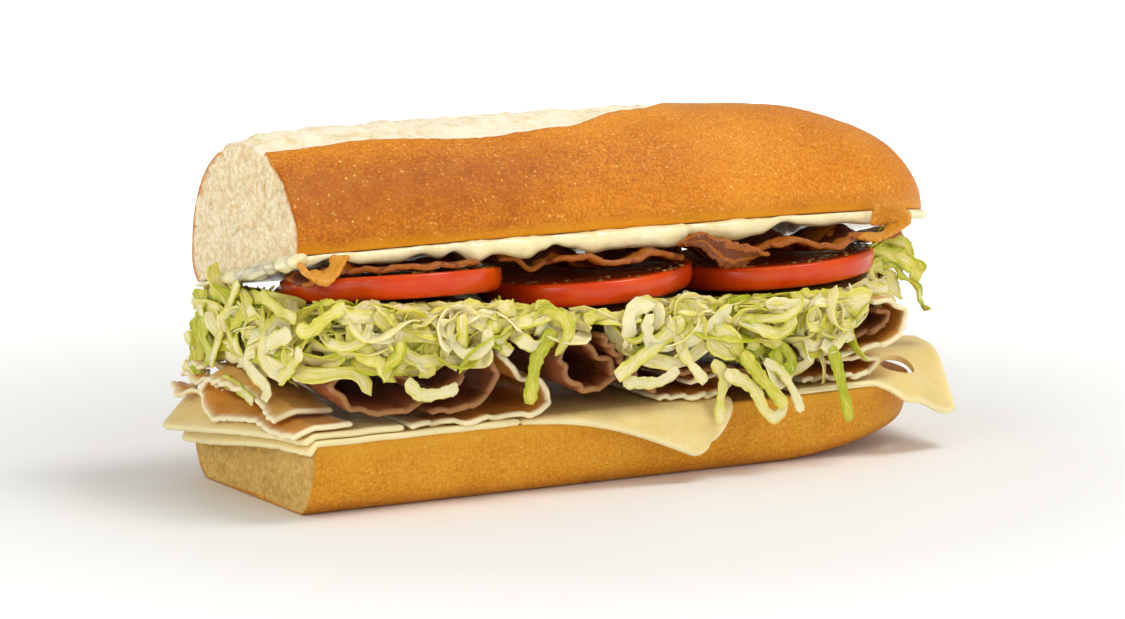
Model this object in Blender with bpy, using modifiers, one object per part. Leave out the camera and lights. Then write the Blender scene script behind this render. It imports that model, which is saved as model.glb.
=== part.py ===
"""Half of a long filled sandwich roll, cut square at one end.

The roll is split along its length. Between its halves lie slices of cheese,
turkey and roast beef, a bed of shredded lettuce, three tomato slices, three
strips of bacon and a layer of mayonnaise. Sizes below are in millimetres and
meshes are made in metres. X runs along the roll from the cut face to the
rounded end, the showing side faces -Y and the roll rests on z = 0.
"""
import math
import random

import bmesh
import bpy
import numpy as np
from mathutils import Vector, noise
from mathutils.bvhtree import BVHTree

MM = 0.001
GAP = 0.35

# Roll, both halves
CUT_X = -100.0

# Lower half of the roll
BASE_TIP_X = 104.0
BASE_ROUND_FROM = 50.0
BASE_ROUND_POWER = 2.6
BASE_HALF_WIDTH = 38.5
BASE_HEIGHT = 20.0
BASE_CORNER_POWER = 0.4
BASE_BELLY = 22.5
BASE_FLARE = 0.10
BASE_LIFT = 8.0
BASE_LIFT_POWER = 1.5

# Upper half of the roll, leaning back by LEAN degrees
LEAN = 13.8
LID_TIP_X = 113.0
LID_ROUND_FROM = 30.0
LID_ROUND_POWER = 2.4
LID_HALF_WIDTH = 38.0
LID_HEIGHT = 37.0
LID_CUT_HALF_WIDTH = 33.8
LID_CUT_HEIGHT = 34.0
LID_SECTION_POWER = 2.1
LID_TUCK = 0.07
LID_TUCK_RISE = 7.0
LID_FRONT_EDGE_Y = -34.0
LID_FRONT_EDGE_Z = 70.5
SCORE_END_X = 46.0
SCORE_STEP = 1.5

# Mayonnaise under the upper half, thick at its front rim
MAYO_DEPTH = 1.2
MAYO_STEP = 4.9
MAYO_CUT_BULGE = 4.2
MAYO_TIP_BULGE = 2.0
MAYO_TIP_HANG = 2.6

# Cold layers
CHEESE_THICK = 1.6
TURKEY_THICK = 1.4
BEEF_THICK = 1.5
BACON_THICK = 1.8
BACON_INSET = 1.4
EYE_RADIUS = 5.0
EYE_CENTRE = (90.4, -28.4)
END_RISE = 5.4
END_BELLY = 3.2
FLAP_FOLD_Y = -BASE_HALF_WIDTH + 0.9
FLAP_BEND = 4.8
FLAP_TURN = 84.0
FLAP_SCOOP = 2.6
TOMATO_RADIUS = 30.0
TOMATO_THICK = 6.7
TOMATO_EDGE = 1.4
TOMATOES = (
    # centre x, y, z, degrees the front is raised, degrees the right is raised
    (-63.7, -12.0, 56.4, 8.0, -0.5),
    (-3.7, -12.0, 53.2, 2.5, 3.0),
    (56.6, -12.0, 53.2, 2.5, 3.0),
)
FLAKES_A_SLICE = 6
FLAKE_SEED = 5

# Lettuce: a packed core, and the shreds that show at each side
CORE_FROM_X = -97.0
CORE_TO_X = 92.0
CORE_HALF_WIDTH = 35.0
SHRED_THICK = 1.2
SHRED_WIDTHS = (3.6, 6.0)
SHREDS = {"front": 31, "left": 5, "right": 6, "back": 5}
SHRED_TRIES = 120
SHRED_SEED = 12

LEAN_COS = math.cos(math.radians(LEAN))
LEAN_SIN = math.sin(math.radians(LEAN))
BASE_SLOPE = LEAN_SIN / LEAN_COS


def clear_scene():
    """Remove every object that the file starts with."""
    for obj in list(bpy.data.objects):
        bpy.data.objects.remove(obj, do_unlink=True)


def collection(name):
    """A collection linked to the scene."""
    made = bpy.data.collections.new(name)
    bpy.context.scene.collection.children.link(made)
    return made


def material(name, colour, roughness, coat=0.0):
    """A Principled material of one colour, given as sRGB 0 to 255."""
    made = bpy.data.materials.new(name)
    made.use_nodes = True
    linear = [(c / 255.0) ** 2.2 for c in colour]
    shader = made.node_tree.nodes["Principled BSDF"]
    shader.inputs["Base Color"].default_value = (*linear, 1.0)
    shader.inputs["Roughness"].default_value = roughness
    shader.inputs["Metallic"].default_value = 0.0
    shader.inputs["Coat Weight"].default_value = coat
    made.diffuse_color = (*linear, 1.0)
    return made


def clamp(value, low=0.0, high=1.0):
    """The value kept between two limits."""
    return max(low, min(high, value))


def smooth(value):
    """A smooth step from 0 to 1."""
    t = clamp(value)
    return t * t * (3.0 - 2.0 * t)


def mix(a, b, share):
    """A value between a and b."""
    return a + (b - a) * share


def rough(x, y, z, size):
    """Smooth noise from about -1 to 1 with lumps of the given size."""
    return noise.noise(Vector((x / size, y / size, z / size)))


def through(stops, x):
    """Smooth value at x through (x, value) stops."""
    if x <= stops[0][0]:
        return stops[0][1]
    for (xa, va), (xb, vb) in zip(stops, stops[1:]):
        if x <= xb:
            return mix(va, vb, smooth((x - xa) / (xb - xa)))
    return stops[-1][1]


def resample(points, count):
    """The polyline through points, as count points evenly spaced along it."""
    pts = np.array(points, float)
    steps = np.linalg.norm(np.diff(pts, axis=0), axis=1)
    run = np.concatenate([[0.0], np.cumsum(steps)])
    want = np.linspace(0.0, run[-1], count)
    return np.stack([np.interp(want, run, pts[:, k]) for k in range(pts.shape[1])], 1)


def spline(points, count):
    """A Catmull-Rom curve through points, as count even points."""
    pts = [np.array(p, float) for p in points]
    pts = [2 * pts[0] - pts[1]] + pts + [2 * pts[-1] - pts[-2]]
    dense = []
    for a, b, c, d in zip(pts, pts[1:], pts[2:], pts[3:]):
        for k in range(12):
            t = k / 12.0
            dense.append(0.5 * (2 * b + (c - a) * t + (2 * a - 5 * b + 4 * c - d) * t * t
                                + (3 * b - a - 3 * c + d) * t ** 3))
    dense.append(pts[-2])
    return resample(dense, count)


def mesh_object(name, verts, faces, finish, group):
    """An object made of points in millimetres."""
    mesh = bpy.data.meshes.new(name)
    mesh.from_pydata([(x * MM, y * MM, z * MM) for x, y, z in verts], [], faces)
    mesh.validate()
    obj = bpy.data.objects.new(name, mesh)
    mesh.materials.append(finish)
    group.objects.link(obj)
    mesh.shade_smooth()
    mesh.set_sharp_from_angle(angle=math.radians(40))
    return obj


def loft(name, rings, shares, relief, finish, group):
    """A closed body through rings of points, its ends closed by smaller rings.

    shares says how far towards the middle each closing ring is drawn, and
    relief(point) gives how far a point of the first end's rings moves in x.
    """
    count = len(rings[0])
    all_rings = [list(map(tuple, ring)) for ring in rings]
    for end in (0, -1):
        edge = np.array(all_rings[end], float)
        centre = edge.mean(axis=0)
        for share in shares:
            ring = edge + (centre - edge) * share
            if end == 0:
                ring[:, 0] += [relief(p) for p in ring]
                all_rings.insert(0, list(map(tuple, ring)))
            else:
                all_rings.append(list(map(tuple, ring)))
    verts = [p for ring in all_rings for p in ring]
    faces = []
    for r in range(len(all_rings) - 1):
        for k in range(count):
            a = r * count + k
            b = r * count + (k + 1) % count
            faces.append((a, b, b + count, a + count))
    first = tuple(np.mean(all_rings[0], axis=0))
    last = tuple(np.mean(all_rings[-1], axis=0))
    verts += [first, last]
    tail = (len(all_rings) - 1) * count
    for k in range(count):
        faces.append((len(verts) - 2, (k + 1) % count, k))
        faces.append((len(verts) - 1, tail + k, tail + (k + 1) % count))
    return mesh_object(name, verts, faces, finish, group)


def sheet(name, point, across, along, thick, finish, group):
    """A thin slice: the middle surface point(u, v), made solid both ways."""
    verts = []
    for i in range(across + 1):
        for j in range(along + 1):
            verts.append(tuple(point(i / across, j / along)))
    faces = []
    for i in range(across):
        for j in range(along):
            a = i * (along + 1) + j
            faces.append((a, a + along + 1, a + along + 2, a + 1))
    obj = mesh_object(name, verts, faces, finish, group)
    solid = obj.modifiers.new("thickness", "SOLIDIFY")
    solid.thickness = thick * MM
    solid.offset = 0.0
    return obj


def base_half_width(x):
    """Half width of the lower half of the roll at x."""
    t = clamp((x - BASE_ROUND_FROM) / (BASE_TIP_X - BASE_ROUND_FROM))
    return BASE_HALF_WIDTH * (1.0 - t ** BASE_ROUND_POWER) ** (1.0 / BASE_ROUND_POWER)


def base_lift(x):
    """Height of the underside above the table at x."""
    t = clamp((x - BASE_ROUND_FROM) / (BASE_TIP_X - BASE_ROUND_FROM))
    return BASE_LIFT * t ** BASE_LIFT_POWER


def base_ring(x, wall_points, top_points):
    """The outline of the lower half at x, anticlockwise seen from the cut."""
    half = base_half_width(x)
    lift = base_lift(x)
    wall = []
    for k in range(121):
        a = math.pi * k / 120.0
        c = math.cos(a)
        s = math.sin(a)
        z = max(0.0, BASE_HEIGHT - BASE_BELLY * abs(s) ** BASE_CORNER_POWER)
        y = -half * math.copysign(abs(c) ** BASE_CORNER_POWER, c)
        y *= 1.0 - BASE_FLARE * (BASE_HEIGHT - z) / BASE_HEIGHT
        wall.append((y, mix(lift, BASE_HEIGHT, z / BASE_HEIGHT)))
    ring = []
    for y, z in resample(wall, wall_points):
        mask = smooth((BASE_HEIGHT - z) / 5.0) * smooth((z - lift) / 4.0)
        bump = 0.7 * mask * rough(x, y, z, 17.0)
        scale = 1.0 + bump / BASE_HALF_WIDTH
        ring.append((x, y * scale, z))
    for k in range(1, top_points):
        y = half * (1.0 - 2.0 * k / top_points)
        ring.append((x, y, BASE_HEIGHT))
    return ring


def round_stations(start, tip, power, count, reach):
    """Stations in x that crowd towards a rounded tip."""
    angles = [0.5 * math.pi * reach * k / count for k in range(1, count + 1)]
    return [start + (tip - start) * math.sin(a) ** (2.0 / power) for a in angles]


def crumb_relief(point):
    """How far the torn crumb of a cut face stands in or out, in x."""
    return -0.2 + 0.8 * rough(7.0, point[1], point[2], 6.0)


def make_base(finish, group):
    """The lower half of the roll."""
    stations = list(np.linspace(CUT_X, BASE_ROUND_FROM, 10))
    stations += round_stations(BASE_ROUND_FROM, BASE_TIP_X, BASE_ROUND_POWER, 8, 0.985)
    rings = [base_ring(x, 21, 5) for x in stations]
    return loft("bun_bottom", rings, (0.2, 0.55), crumb_relief, finish, group)


def lid_edge_z(y):
    """Height of the upper half's flat underside at y."""
    return LID_FRONT_EDGE_Z - BASE_SLOPE * (y - LID_FRONT_EDGE_Y)


def lid_size(x):
    """Middle y, half width and height of the upper half at x."""
    grow = smooth((x - CUT_X) / 55.0)
    middle = mix(2.5, 1.0, grow)
    half = mix(LID_CUT_HALF_WIDTH, LID_HALF_WIDTH, grow)
    tall = mix(LID_CUT_HEIGHT, LID_HEIGHT, grow)
    t = clamp((x - LID_ROUND_FROM) / (LID_TIP_X - LID_ROUND_FROM))
    end = (1.0 - t ** LID_ROUND_POWER) ** (1.0 / LID_ROUND_POWER)
    return middle, half * end, tall * end


def lid_point(x, u, v):
    """A point of the leaning upper half from its own width u and height v."""
    middle = lid_size(x)[0]
    y = middle + LEAN_COS * u + LEAN_SIN * v
    z = lid_edge_z(middle) - LEAN_SIN * u + LEAN_COS * v
    return (x, y, z)


def score_band(x):
    """The front edge and the width, in y, of the pale split along the top."""
    edge = through([(-100, -9.5), (-80, -10.5), (-45, -18.4), (-12, -15.4), (14, -8.0), (46, 8)], x)
    edge += 0.6 * rough(x, 0.0, 3.0, 14.0)
    width = through([(-100, 29), (-50, 34), (-12, 31), (14, 20), (30, 11), (SCORE_END_X, 0.5)], x)
    return edge, width


def score_swell(x):
    """How far the bread swells out of the pale split at x."""
    return through([(-100, 0.6), (-90, 2.6), (-78, 2.4), (-62, 1.3), (-48, 0.5), (-20, 0.6), (30, 0.0)], x)


def lid_ring(x, front_points, band_points, back_points, under_points):
    """The outline of the upper half at x, with the step of the pale split."""
    _, half, tall = lid_size(x)
    upper = []
    for k in range(161):
        a = math.pi * k / 160.0
        c = math.cos(a)
        s = math.sin(a)
        v = tall * s ** (2.0 / LID_SECTION_POWER)
        u = -half * math.copysign(abs(c) ** (2.0 / LID_SECTION_POWER), c)
        u *= 1.0 - LID_TUCK * max(0.0, 1.0 - v / LID_TUCK_RISE) ** 2
        upper.append((u, v))
    pts = np.array(upper)
    run = np.concatenate([[0.0], np.cumsum(np.linalg.norm(np.diff(pts, axis=0), axis=1))])
    ys = np.array([lid_point(x, u, v)[1] for u, v in upper])
    top = int(np.argmax(ys > ys.max() - 0.5))
    edge_y, width = score_band(x)
    shrink = clamp(half / 30.0)
    edge_y = mix(lid_size(x)[0], edge_y, shrink)
    width *= shrink
    edge = float(np.interp(edge_y, ys[10:top], run[10:top]))
    far = float(np.interp(edge_y + width, ys[10:top], run[10:top]))
    far = max(far, edge + 1.6)
    step = SCORE_STEP * smooth((SCORE_END_X - x) / 30.0)
    lip = min(0.9, 0.45 * (far - edge))
    marks = list(np.linspace(0.0, edge, front_points + 1))
    marks += list(np.linspace(edge + lip, far, band_points + 1))
    marks += list(np.linspace(far, run[-1], back_points + 1))[1:]
    ring = []
    for mark in marks:
        u = float(np.interp(mark, run, pts[:, 0]))
        v = float(np.interp(mark, run, pts[:, 1]))
        out = 0.6 * rough(x, u, v, 22.0) * smooth(v / 6.0)
        if mark <= edge:
            out += 0.9 * step / SCORE_STEP * smooth(1.0 - (edge - mark) / 9.0)
        elif mark < far:
            out -= step * smooth(1.0 - (mark - edge - lip) / (far - edge))
            out += 0.5 * step * rough(x, u, 1.0, 5.0)
            out += score_swell(x) * math.sin(math.pi * (mark - edge - lip) / (far - edge))
        length = math.hypot(u, v)
        if length > 0.001:
            u *= 1.0 + out / max(length, 6.0)
            v *= 1.0 + out / max(length, 6.0)
        ring.append(lid_point(x, u, v))
    first, last = pts[0, 0], pts[-1, 0]
    for k in range(1, under_points):
        u = mix(last, first, k / under_points)
        ring.append(lid_point(x, u, 0.0))
    return ring[::-1]


def make_lid(finish, group):
    """The upper half of the roll."""
    stations = list(np.linspace(CUT_X, LID_ROUND_FROM, 13))
    stations += round_stations(LID_ROUND_FROM, LID_TIP_X, LID_ROUND_POWER, 9, 0.965)
    rings = [lid_ring(x, 9, 4, 8, 5) for x in stations]
    return loft("bun_top", rings, (0.2, 0.55), crumb_relief, finish, group)


def mayo_rim(x):
    """How far the mayonnaise hangs and pushes out along the front edge."""
    lobes = 0.5 + 0.5 * math.sin(x / 5.3 + 1.1 * math.sin(x / 13.0))
    swell = smooth((rough(x, 2.0, 9.0, 27.0) + 0.45) / 0.9)
    hang = 2.1 + 1.6 * lobes * (0.35 + 0.65 * swell) + 0.5 * swell
    hang *= mix(0.82, 1.0, smooth((x + 38.0) / 6.0))
    push = 0.8 + 1.3 * lobes * swell
    tip = smooth((x - 70.0) / 35.0)
    return mix(hang, MAYO_TIP_HANG, tip), mix(push, MAYO_TIP_BULGE, tip)


def mayo_ring(x):
    """Outline of the mayonnaise layer at x, in the same order as the lid's."""
    _, half, _ = lid_size(x)
    edge = half * (1.0 - LID_TUCK)
    hang, push = mayo_rim(x)
    spread = min(1.0, edge / 12.0)
    under = -GAP - MAYO_DEPTH
    profile = [
        (edge - 1.2, -GAP), (0.3 * edge, -GAP), (-0.5 * edge, -GAP), (-edge + 0.5, -GAP),
        (-edge - 0.8 * push, -GAP - 0.1), (-edge - push - 0.5, -0.5 * hang),
        (-edge - 0.4 * push, -hang - GAP), (-edge + 2.5 * spread, -0.75 * hang - GAP),
        (-edge + 6.0 * spread, under), (0.3 * edge, under), (edge - 1.4, under),
    ]
    near_cut = smooth((CUT_X + 9.0 - x) / 9.0)
    ring = []
    for u, v in profile:
        px, py, pz = lid_point(x, u, v)
        lump = near_cut * smooth(1.0 - abs(py + 6.0) / 26.0) * (0.75 + 0.5 * rough(py, 4.0, 2.0, 7.0))
        px -= MAYO_CUT_BULGE * lump
        if v < -1.0:
            pz -= 1.7 * lump
        ring.append((px, py, pz))
    return ring


def make_mayo(finish, group):
    """The mayonnaise spread under the upper half."""
    stations = [CUT_X + 0.2 + MAYO_STEP * k for k in range(38)]
    stations += [LID_TIP_X - inward for inward in (21.0, 16.0, 11.5, 7.5, 4.0)]
    rings = [mayo_ring(x) for x in sorted(stations)]
    return loft("mayo", rings, (0.35,), lambda p: -0.4, finish, group)


def slice_level(placed, x, y):
    """Height at x, y of the middle of a tomato slice, which is tilted."""
    cx, cy, cz, front, right = placed
    return cz + (x - cx) * math.tan(math.radians(right)) - (y - cy) * math.tan(math.radians(front))


def flake(size, rng):
    """A dried herb flake: a small irregular octahedron, points in millimetres."""
    turn = rng.uniform(0.0, math.pi)
    pts = []
    for k in range(4):
        a = turn + k * math.pi / 2
        r = size * (0.9 if k % 2 else 0.45) * rng.uniform(0.8, 1.2)
        pts.append((r * math.cos(a), r * math.sin(a), rng.uniform(-0.05, 0.25)))
    pts += [(0.0, 0.0, 0.55), (0.0, 0.0, -0.5)]
    faces = []
    for k in range(4):
        faces.append((k, (k + 1) % 4, 4))
        faces.append(((k + 1) % 4, k, 5))
    return pts, faces


def union(obj, group, solver):
    """Join a collection's objects into obj, apply it and drop the objects."""
    join = obj.modifiers.new("join", "BOOLEAN")
    join.operation = "UNION"
    join.operand_type = "COLLECTION"
    join.collection = group
    join.solver = solver
    whole = bpy.data.meshes.new_from_object(obj.evaluated_get(bpy.context.evaluated_depsgraph_get()))
    obj.modifiers.clear()
    old = obj.data
    obj.data = whole
    whole.name = old.name
    bpy.data.meshes.remove(old)
    for part in list(group.objects):
        bpy.data.objects.remove(part, do_unlink=True)
    bpy.data.collections.remove(group)
    keep_largest(obj)


def keep_largest(obj):
    """Drop loose scraps and the shells of sealed hollows from a mesh."""
    bm = bmesh.new()
    bm.from_mesh(obj.data)
    seen = set()
    shells = []
    for start in bm.faces:
        if start in seen:
            continue
        stack = [start]
        shell = []
        seen.add(start)
        while stack:
            face = stack.pop()
            shell.append(face)
            for edge in face.edges:
                for other in edge.link_faces:
                    if other not in seen:
                        seen.add(other)
                        stack.append(other)
        shells.append(shell)
    shells.sort(key=len, reverse=True)
    loose = [face for shell in shells[1:] for face in shell]
    bmesh.ops.delete(bm, geom=loose, context="FACES")
    bm.to_mesh(obj.data)
    bm.free()


def make_tomato(index, finish, group):
    """One tomato slice with dried herb flakes fused along its front."""
    cx, cy, cz, front, right = TOMATOES[index]
    half = 0.5 * TOMATO_THICK
    inner = TOMATO_RADIUS - TOMATO_EDGE
    profile = [(0.0, half), (inner, half), (TOMATO_RADIUS, half - TOMATO_EDGE),
               (TOMATO_RADIUS, -half + TOMATO_EDGE), (inner, -half), (0.0, -half)]
    name = "tomato_%d" % (index + 1)
    mesh = bpy.data.meshes.new(name)
    edges = [(k, k + 1) for k in range(len(profile) - 1)]
    mesh.from_pydata([(r * MM, 0.0, z * MM) for r, z in profile], edges, [])
    mesh.materials.append(finish)
    obj = bpy.data.objects.new(name, mesh)
    group.objects.link(obj)
    screw = obj.modifiers.new("turn", "SCREW")
    screw.steps = 30
    screw.render_steps = 30
    screw.use_merge_vertices = True
    screw.merge_threshold = 0.0001
    solid = bpy.data.meshes.new_from_object(obj.evaluated_get(bpy.context.evaluated_depsgraph_get()))
    obj.modifiers.clear()
    obj.data = solid
    tilt = np.array([[1.0, 0.0, 0.0], [0.0, 1.0, 0.0],
                     [math.tan(math.radians(right)), -math.tan(math.radians(front)), 1.0]])
    for vert in solid.vertices:
        p = np.array(vert.co) / MM
        wobble = 1.0 + 0.012 * math.sin(3 * math.atan2(p[1], p[0]) + index)
        p = tilt @ (p * np.array([wobble, wobble, 1.0]))
        vert.co = Vector((p + np.array([cx, cy, cz])) * MM)
    rng = random.Random(FLAKE_SEED + index)
    extras = collection("flakes")
    for k in range(FLAKES_A_SLICE):
        a = math.radians(-145.0 + 22.0 * k + rng.uniform(-6.0, 6.0))
        r = TOMATO_RADIUS - rng.uniform(1.9, 3.2)
        x = cx + r * math.cos(a)
        y = cy + r * math.sin(a)
        pts, faces = flake(rng.uniform(0.9, 1.5), rng)
        z = slice_level(TOMATOES[index], x, y) + half
        mesh_object("flake", [(x + p[0], y + p[1], z + p[2]) for p in pts], faces, finish, extras)
    union(obj, extras, "EXACT")
    obj.data.shade_smooth()
    obj.data.set_sharp_from_angle(angle=math.radians(40))
    return obj


def bacon_height(x, y, phase, waves):
    """Height of a bacon strip's middle at x, y, between tomato and spread."""
    gap = 0.5 * BACON_THICK + GAP
    faces = []
    for placed in TOMATOES:
        away = math.hypot(x - placed[0], y - placed[1]) - TOMATO_RADIUS
        rise = clamp(slice_level(placed, x, y) - placed[2], -6.0, 6.0)
        faces.append(placed[2] + 0.5 * TOMATO_THICK + rise + 0.4 - 3.0 * smooth((away - 2.5) / 6.0))
    low = max(faces) + gap
    roof = lid_edge_z(max(y, LID_FRONT_EDGE_Y)) - 1.8 - 1.6 * smooth((x - 66.0) / 14.0)
    if y < -26.0:
        roof -= 3.6 * smooth((-26.0 - y) / 5.0)
    high = max(low, roof - gap)
    wave = 0.5 + 0.5 * math.sin(x / waves + phase + 0.04 * (y + 27.0))
    return mix(low, high, wave)


def bacon_front(x):
    """Y of the front edge of the bacon at x, just inside the tomato rims."""
    rims = []
    for placed in TOMATOES:
        reach = max(0.0, TOMATO_RADIUS ** 2 - (x - placed[0]) ** 2)
        rims.append(placed[1] - math.sqrt(reach))
    return min(min(rims), -30.5) + BACON_INSET


def make_bacon(index, x_from, x_to, y_to, phase, waves, finish, group):
    """One wavy strip of bacon, lying along the roll."""
    def point(u, v):
        x = mix(x_from, x_to, u)
        y = mix(bacon_front(x), y_to, v) + 0.8 * math.sin(x / 7.0 + index) * (1.0 - v)
        x += 0.5 * u * (y + 38.0)
        z = bacon_height(x, y, phase, waves)
        return x, y, z
    return sheet("bacon_%d" % index, point, 21, 2, BACON_THICK, finish, group)


def beyond_cut(x):
    """How far x lies past the cut end of the roll, where slices begin to sag."""
    return max(0.0, CUT_X - 1.7 - x)


def past_end(left, right, u):
    """X along a slice that sticks out past the cut, closer spaced there."""
    if u < 0.4:
        return mix(left, CUT_X - 1.2, u / 0.4)
    return mix(CUT_X - 1.2, right, (u - 0.4) / 0.6)


def make_cheese_left(index, plan, level, droop, finish, group):
    """A slice at the cut end, sagging where it sticks out past the roll."""
    front_left, front_right, back_left, back_right = plan

    def point(u, v):
        x = past_end(mix(front_left[0], back_left[0], v), mix(front_right[0], back_right[0], v), u)
        y = mix(mix(front_left[1], front_right[1], u), mix(back_left[1], back_right[1], u), v)
        back = smooth((y + 40.0) / 70.0)
        return x, y, level - beyond_cut(x) * (droop[0] + droop[1] * back)
    return sheet("cheese_%d" % index, point, 8, 5, CHEESE_THICK, finish, group)


def make_cheese_flap(finish, group):
    """The middle slice, whose front corner folds down over the crust."""
    level = BASE_HEIGHT + GAP + 0.5 * CHEESE_THICK
    tip = np.array([22.5, -56.5])
    left = np.array([-38.5, -39.6])
    right = np.array([46.0, 33.0])
    back = np.array([-38.5, 33.0])

    def point(u, v):
        front = mix(left, tip, u)
        front = front + np.array([0.0, FLAP_SCOOP * math.sin(math.pi * min(1.0, u / 0.85))])
        rear = mix(back, right, u)
        inside = front[1] + (FLAP_FOLD_Y + 2.0 - front[1]) * min(1.0, v / 0.7)
        share = (inside - front[1]) / (rear[1] - front[1])
        share = mix(share, 1.0, max(0.0, (v - 0.7) / 0.3))
        plan = mix(front, rear, share)
        corner = max(0.0, 1.0 - math.hypot((1.0 - u) * 60.0, v * 20.0) / 12.0)
        x, y = plan + np.array([-4.5, 5.5]) * corner ** 2
        past = FLAP_FOLD_Y - y
        if past <= 0.0:
            return x, y, level + 0.3 * smooth(past / -20.0) * (1.0 + rough(x, y, 0.0, 18.0))
        turn = min(past / FLAP_BEND, math.radians(FLAP_TURN))
        rest = max(0.0, past - FLAP_BEND * turn)
        yy = FLAP_FOLD_Y - FLAP_BEND * math.sin(turn) - rest * math.cos(turn)
        zz = level - FLAP_BEND * (1.0 - math.cos(turn)) - rest * math.sin(turn)
        belly = smooth(rest / 8.0) * (1.0 + 0.8 * rough(x, yy, zz, 9.0))
        return x, yy - 0.6 * belly, zz
    return sheet("cheese_3", point, 12, 10, CHEESE_THICK, finish, group)


def end_tilt(x, y):
    """How far the slice at the rounded end stands above its level at x, y.

    It rises behind a line that cuts the corner of the roll and falls before it.
    """
    line = through([(70.0, -40.2), (88.0, -34.2), (104.0, -26.4)], x)
    if y > line:
        slope = through([(80.0, 0.0), (90.0, 0.5), (104.0, 1.0)], x)
        return END_RISE * math.tanh(slope * (y - line) / END_RISE)
    slope = through([(56.0, 0.0), (78.0, 0.5), (88.0, 0.95), (104.0, 1.0)], x)
    return slope * (y - line)


def make_cheese_end(finish, group, cutters):
    """The slice at the rounded end, with a round eye and a drooping corner."""
    level = BASE_HEIGHT + GAP + 0.5 * CHEESE_THICK
    front_left = np.array([50.0, -39.0])
    front_right = np.array([104.8, -36.4])
    back_left = np.array([52.5, 30.0])
    back_right = np.array([112.0, -6.0])

    def point(u, v):
        front = mix(front_left, front_right, u)
        front = front - np.array([0.0, END_BELLY * math.sin(math.pi * clamp((u - 0.42) / 0.58))])
        x, y = mix(front, mix(back_left, back_right, u), v ** 1.4)
        return x, y, level + end_tilt(x, y)
    obj = sheet("cheese_4", point, 12, 10, CHEESE_THICK, finish, group)
    mesh = bpy.data.meshes.new("eye_cutter")
    bm = bmesh.new()
    bmesh.ops.create_cone(bm, cap_ends=True, segments=18, radius1=EYE_RADIUS * MM,
                          radius2=EYE_RADIUS * MM, depth=0.02)
    bm.to_mesh(mesh)
    bm.free()
    eye = bpy.data.objects.new("eye_cutter", mesh)
    eye.location = (EYE_CENTRE[0] * MM, EYE_CENTRE[1] * MM, level * MM)
    eye.hide_render = True
    eye.display_type = "WIRE"
    cutters.objects.link(eye)
    cut = obj.modifiers.new("eye", "BOOLEAN")
    cut.operation = "DIFFERENCE"
    cut.object = eye
    return obj


def make_turkey_end(finish, group):
    """The slice folded over at the cut end, its open fold facing the front."""
    level = BASE_HEIGHT + 2 * GAP + 2 * CHEESE_THICK + GAP + 0.5 * TURKEY_THICK + 0.4
    section = spline([(-41.0, 0.0), (-21.0, 0.0), (0.0, 0.0), (10.0, 0.4), (16.0, 4.6), (12.5, 8.8),
                      (5.0, 10.0), (-8.0, 7.8), (-20.0, 4.8), (-31.0, 3.4)], 15)

    def point(u, v):
        y, up = section[int(round(v * 14))]
        x = mix(-107.0, -90.5, u)
        x -= 1.2 * math.sin(0.16 * y + 0.6)
        back = smooth((y + 40.0) / 70.0)
        z = level - beyond_cut(x) * (0.38 + 0.40 * back)
        return x, y + 0.6 * math.sin(x * 0.4), z + up * mix(1.0, 0.62, u)
    return sheet("turkey_1", point, 5, 14, TURKEY_THICK, finish, group)


def make_fold(name, path, steps, y_from, y_to, rows, taper, thick, finish, group):
    """A slice folded about Y: an (x, z) path swept back from the front.

    taper is the scale of the path at the back and the x, z point it is
    drawn towards.
    """
    run = spline(path, steps + 1)
    scale, drawn_x, drawn_z = taper

    def point(u, v):
        x, z = run[int(round(u * steps))]
        size = mix(1.0, scale, smooth(v * 1.2))
        x = drawn_x + (x - drawn_x) * size
        z = drawn_z + (z - drawn_z) * size
        front = y_from + 1.1 * math.sin(0.35 * x + 0.22 * z)
        return x, mix(front, y_to, v), z
    return sheet(name, point, steps, rows, thick, finish, group)


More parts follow.
